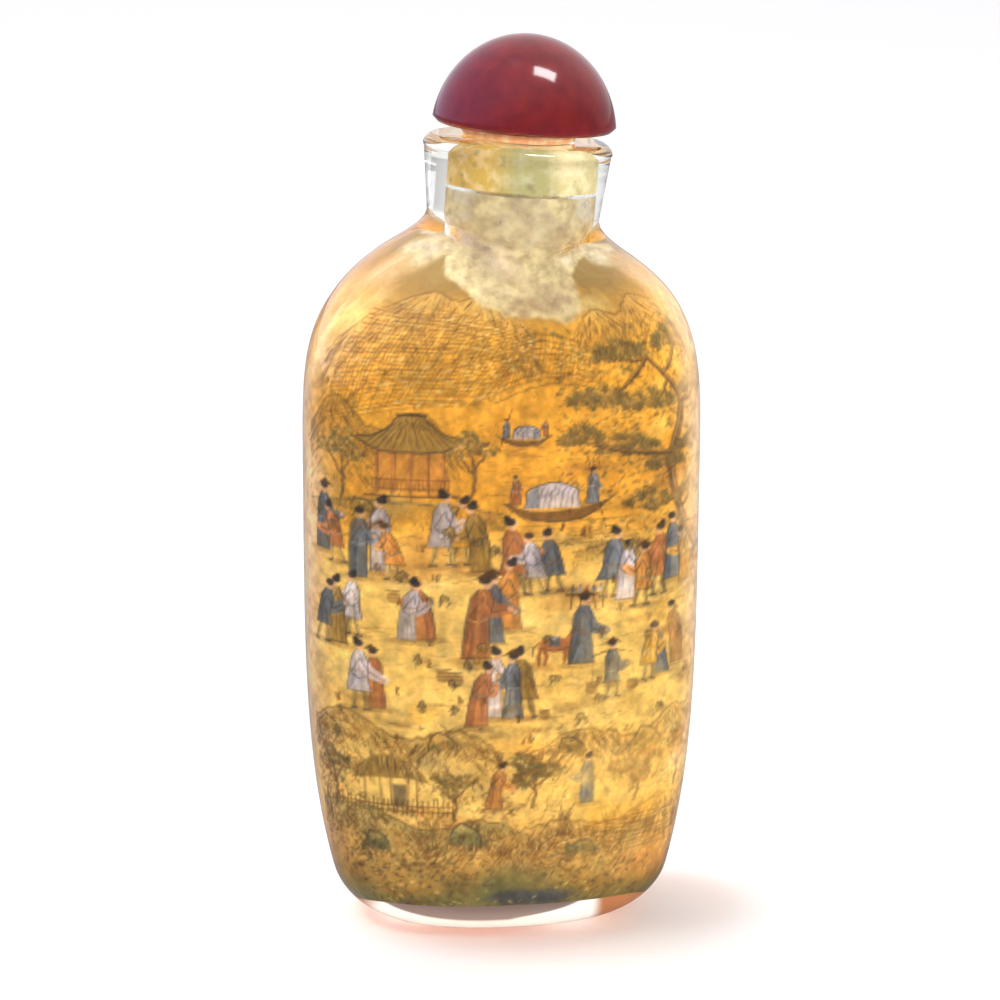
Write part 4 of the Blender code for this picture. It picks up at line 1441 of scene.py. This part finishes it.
def add_lamp(scene, name, target, direction, distance, width, height, power):
    """A rectangular soft lamp that faces a point from a direction, level in the picture."""
    data = bpy.data.lights.new(name, "AREA")
    data.shape = "RECTANGLE"
    data.size, data.size_y = width, height
    data.energy = power
    lamp = bpy.data.objects.new(name, data)
    scene.collection.objects.link(lamp)
    direction = Vector(direction).normalized()
    across = scene.camera.matrix_world.to_3x3().col[0]
    across = (across - direction * across.dot(direction)).normalized()
    facing = Matrix((across, direction.cross(across), direction)).transposed().to_4x4()
    lamp.matrix_world = Matrix.Translation(Vector(target) + direction * distance) @ facing
    return lamp


def make_surroundings(scene, look):
    """White air all round, and a room that only the gloss of the pieces shows."""
    world = bpy.data.worlds.new("white_room")
    world.use_nodes = True
    nodes = Nodes(world.node_tree)
    # The room is bright above and behind, dimmer on the camera's side and bluer at the left
    above = nodes.add("ShaderNodeVectorMath")
    above.operation = "DOT_PRODUCT"
    nodes.set(above, 0, nodes.add("ShaderNodeTexCoord").outputs["Generated"])
    nodes.set(above, 1, (-0.25, 0.5, 0.83))
    light = nodes.ramp(above.outputs["Value"], -0.2, 0.5, look.sky, 1.25)
    tint = nodes.blend(nodes.ramp(nodes.place("Generated")["X"], -0.9, 0.1), look.left_room, look.room)
    room = nodes.fill(world.node_tree.nodes["Background"], Strength=light, Color=tint)
    path = nodes.add("ShaderNodeLightPath").outputs
    straight = nodes.sum("MAXIMUM", path["Is Camera Ray"], path["Is Transmission Ray"])
    air = nodes.ramp(straight, 0.0, 1.0, look.air, 1.0)
    backdrop = nodes.add("ShaderNodeBackground", Color=(1.0, 1.0, 1.0), Strength=air)
    seen = nodes.mixed(in_reflections(nodes), backdrop.outputs[0], room.outputs[0])
    nodes.set(world.node_tree.nodes["World Output"], "Surface", seen)
    scene.world = world


def make_lamps(scene, look):
    """A key lamp that gives the glints, soft fills that don't show in the gloss, and one for the foot."""
    key = scene.camera.matrix_world.to_3x3() @ Vector((0.365, 0.847, 0.378))
    glint = add_lamp(scene, "key_lamp", (0.002, 0.0, 0.076), key, 0.5, 0.2, 0.11, look.key_power)
    glint.visible_diffuse = False
    fills = (
        ("side_lamp", (0.0, 0.0, 0.04), (0.8, 0.45, 0.55), 0.6, 0.3, 0.3, look.side_power),
        ("front_lamp", (0.0, 0.0, 0.04), (0.3, -1.0, 0.22), 0.9, 0.6, 0.3, look.front_power),
        ("top_lamp", (0.0, 0.0, 0.0), (-0.14, 0.06, 0.98), 0.6, 0.1, 0.1, look.top_power),
        ("table_lamp", (0.0, 0.95, 0.0), (0.0, 0.0, 1.0), 1.0, 1.6, 0.6, look.table_power),
        ("foot_lamp", (0.0, 0.0, 0.0), (0.1, -0.3, -1.0), 0.3, 0.03, 0.03, look.foot_power),
    )
    for values in fills:
        lamp = add_lamp(scene, *values)
        lamp.visible_glossy = False
    # The thick foot gathers light from the whole table, so the last lamp lights only the glass
    only_glass = bpy.data.collections.new("only_glass")
    only_glass.objects.link(bpy.data.objects["bottle_glass"])
    lamp.light_linking.receiver_collection = only_glass
    lamp.light_linking.blocker_collection = only_glass
    scene.view_settings.view_transform = "Standard"


class SNUFF_PT_panel(bpy.types.Panel):
    """Lists the pieces in the sidebar"""

    bl_idname = "SNUFF_PT_panel"
    bl_label = "Snuff Bottle"
    bl_space_type = "VIEW_3D"
    bl_region_type = "UI"
    bl_category = "Snuff Bottle"

    def draw(self, context):
        for name in SETTINGS:
            box = self.layout.box()
            group = getattr(context.scene, name)
            for item in group.bl_rna.properties:
                if item.identifier not in ("rna_type", "name"):
                    box.prop(group, item.identifier)
        for operator in OPERATORS:
            self.layout.operator(operator.bl_idname)


SETTINGS = {
    "snuff_glass": GlassSettings,
    "snuff_paint": PaintSettings,
    "snuff_stopper": StopperSettings,
    "snuff_stage": StageSettings,
}
OPERATORS = (
    SNUFF_OT_bottle_glass,
    SNUFF_OT_painting,
    SNUFF_OT_stopper_cap,
    SNUFF_OT_stopper_collar,
    SNUFF_OT_stopper_plug,
    SNUFF_OT_stage,
)


def register():
    """Adds the settings, the operators and the panel."""
    for name, group in SETTINGS.items():
        bpy.utils.register_class(group)
        setattr(bpy.types.Scene, name, PointerProperty(type=group))
    for made in (*OPERATORS, SNUFF_PT_panel):
        bpy.utils.register_class(made)


def unregister():
    """Takes them away again."""
    for made in (SNUFF_PT_panel, *reversed(OPERATORS)):
        bpy.utils.unregister_class(made)
    for name, group in SETTINGS.items():
        delattr(bpy.types.Scene, name)
        bpy.utils.unregister_class(group)


def main():
    """Registers the add-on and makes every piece."""
    register()
    bpy.ops.snuff.bottle_glass()
    bpy.ops.snuff.painting()
    bpy.ops.snuff.stopper_cap()
    bpy.ops.snuff.stopper_collar()
    bpy.ops.snuff.stopper_plug()
    bpy.ops.snuff.stage()


if __name__ == "__main__":
    main()
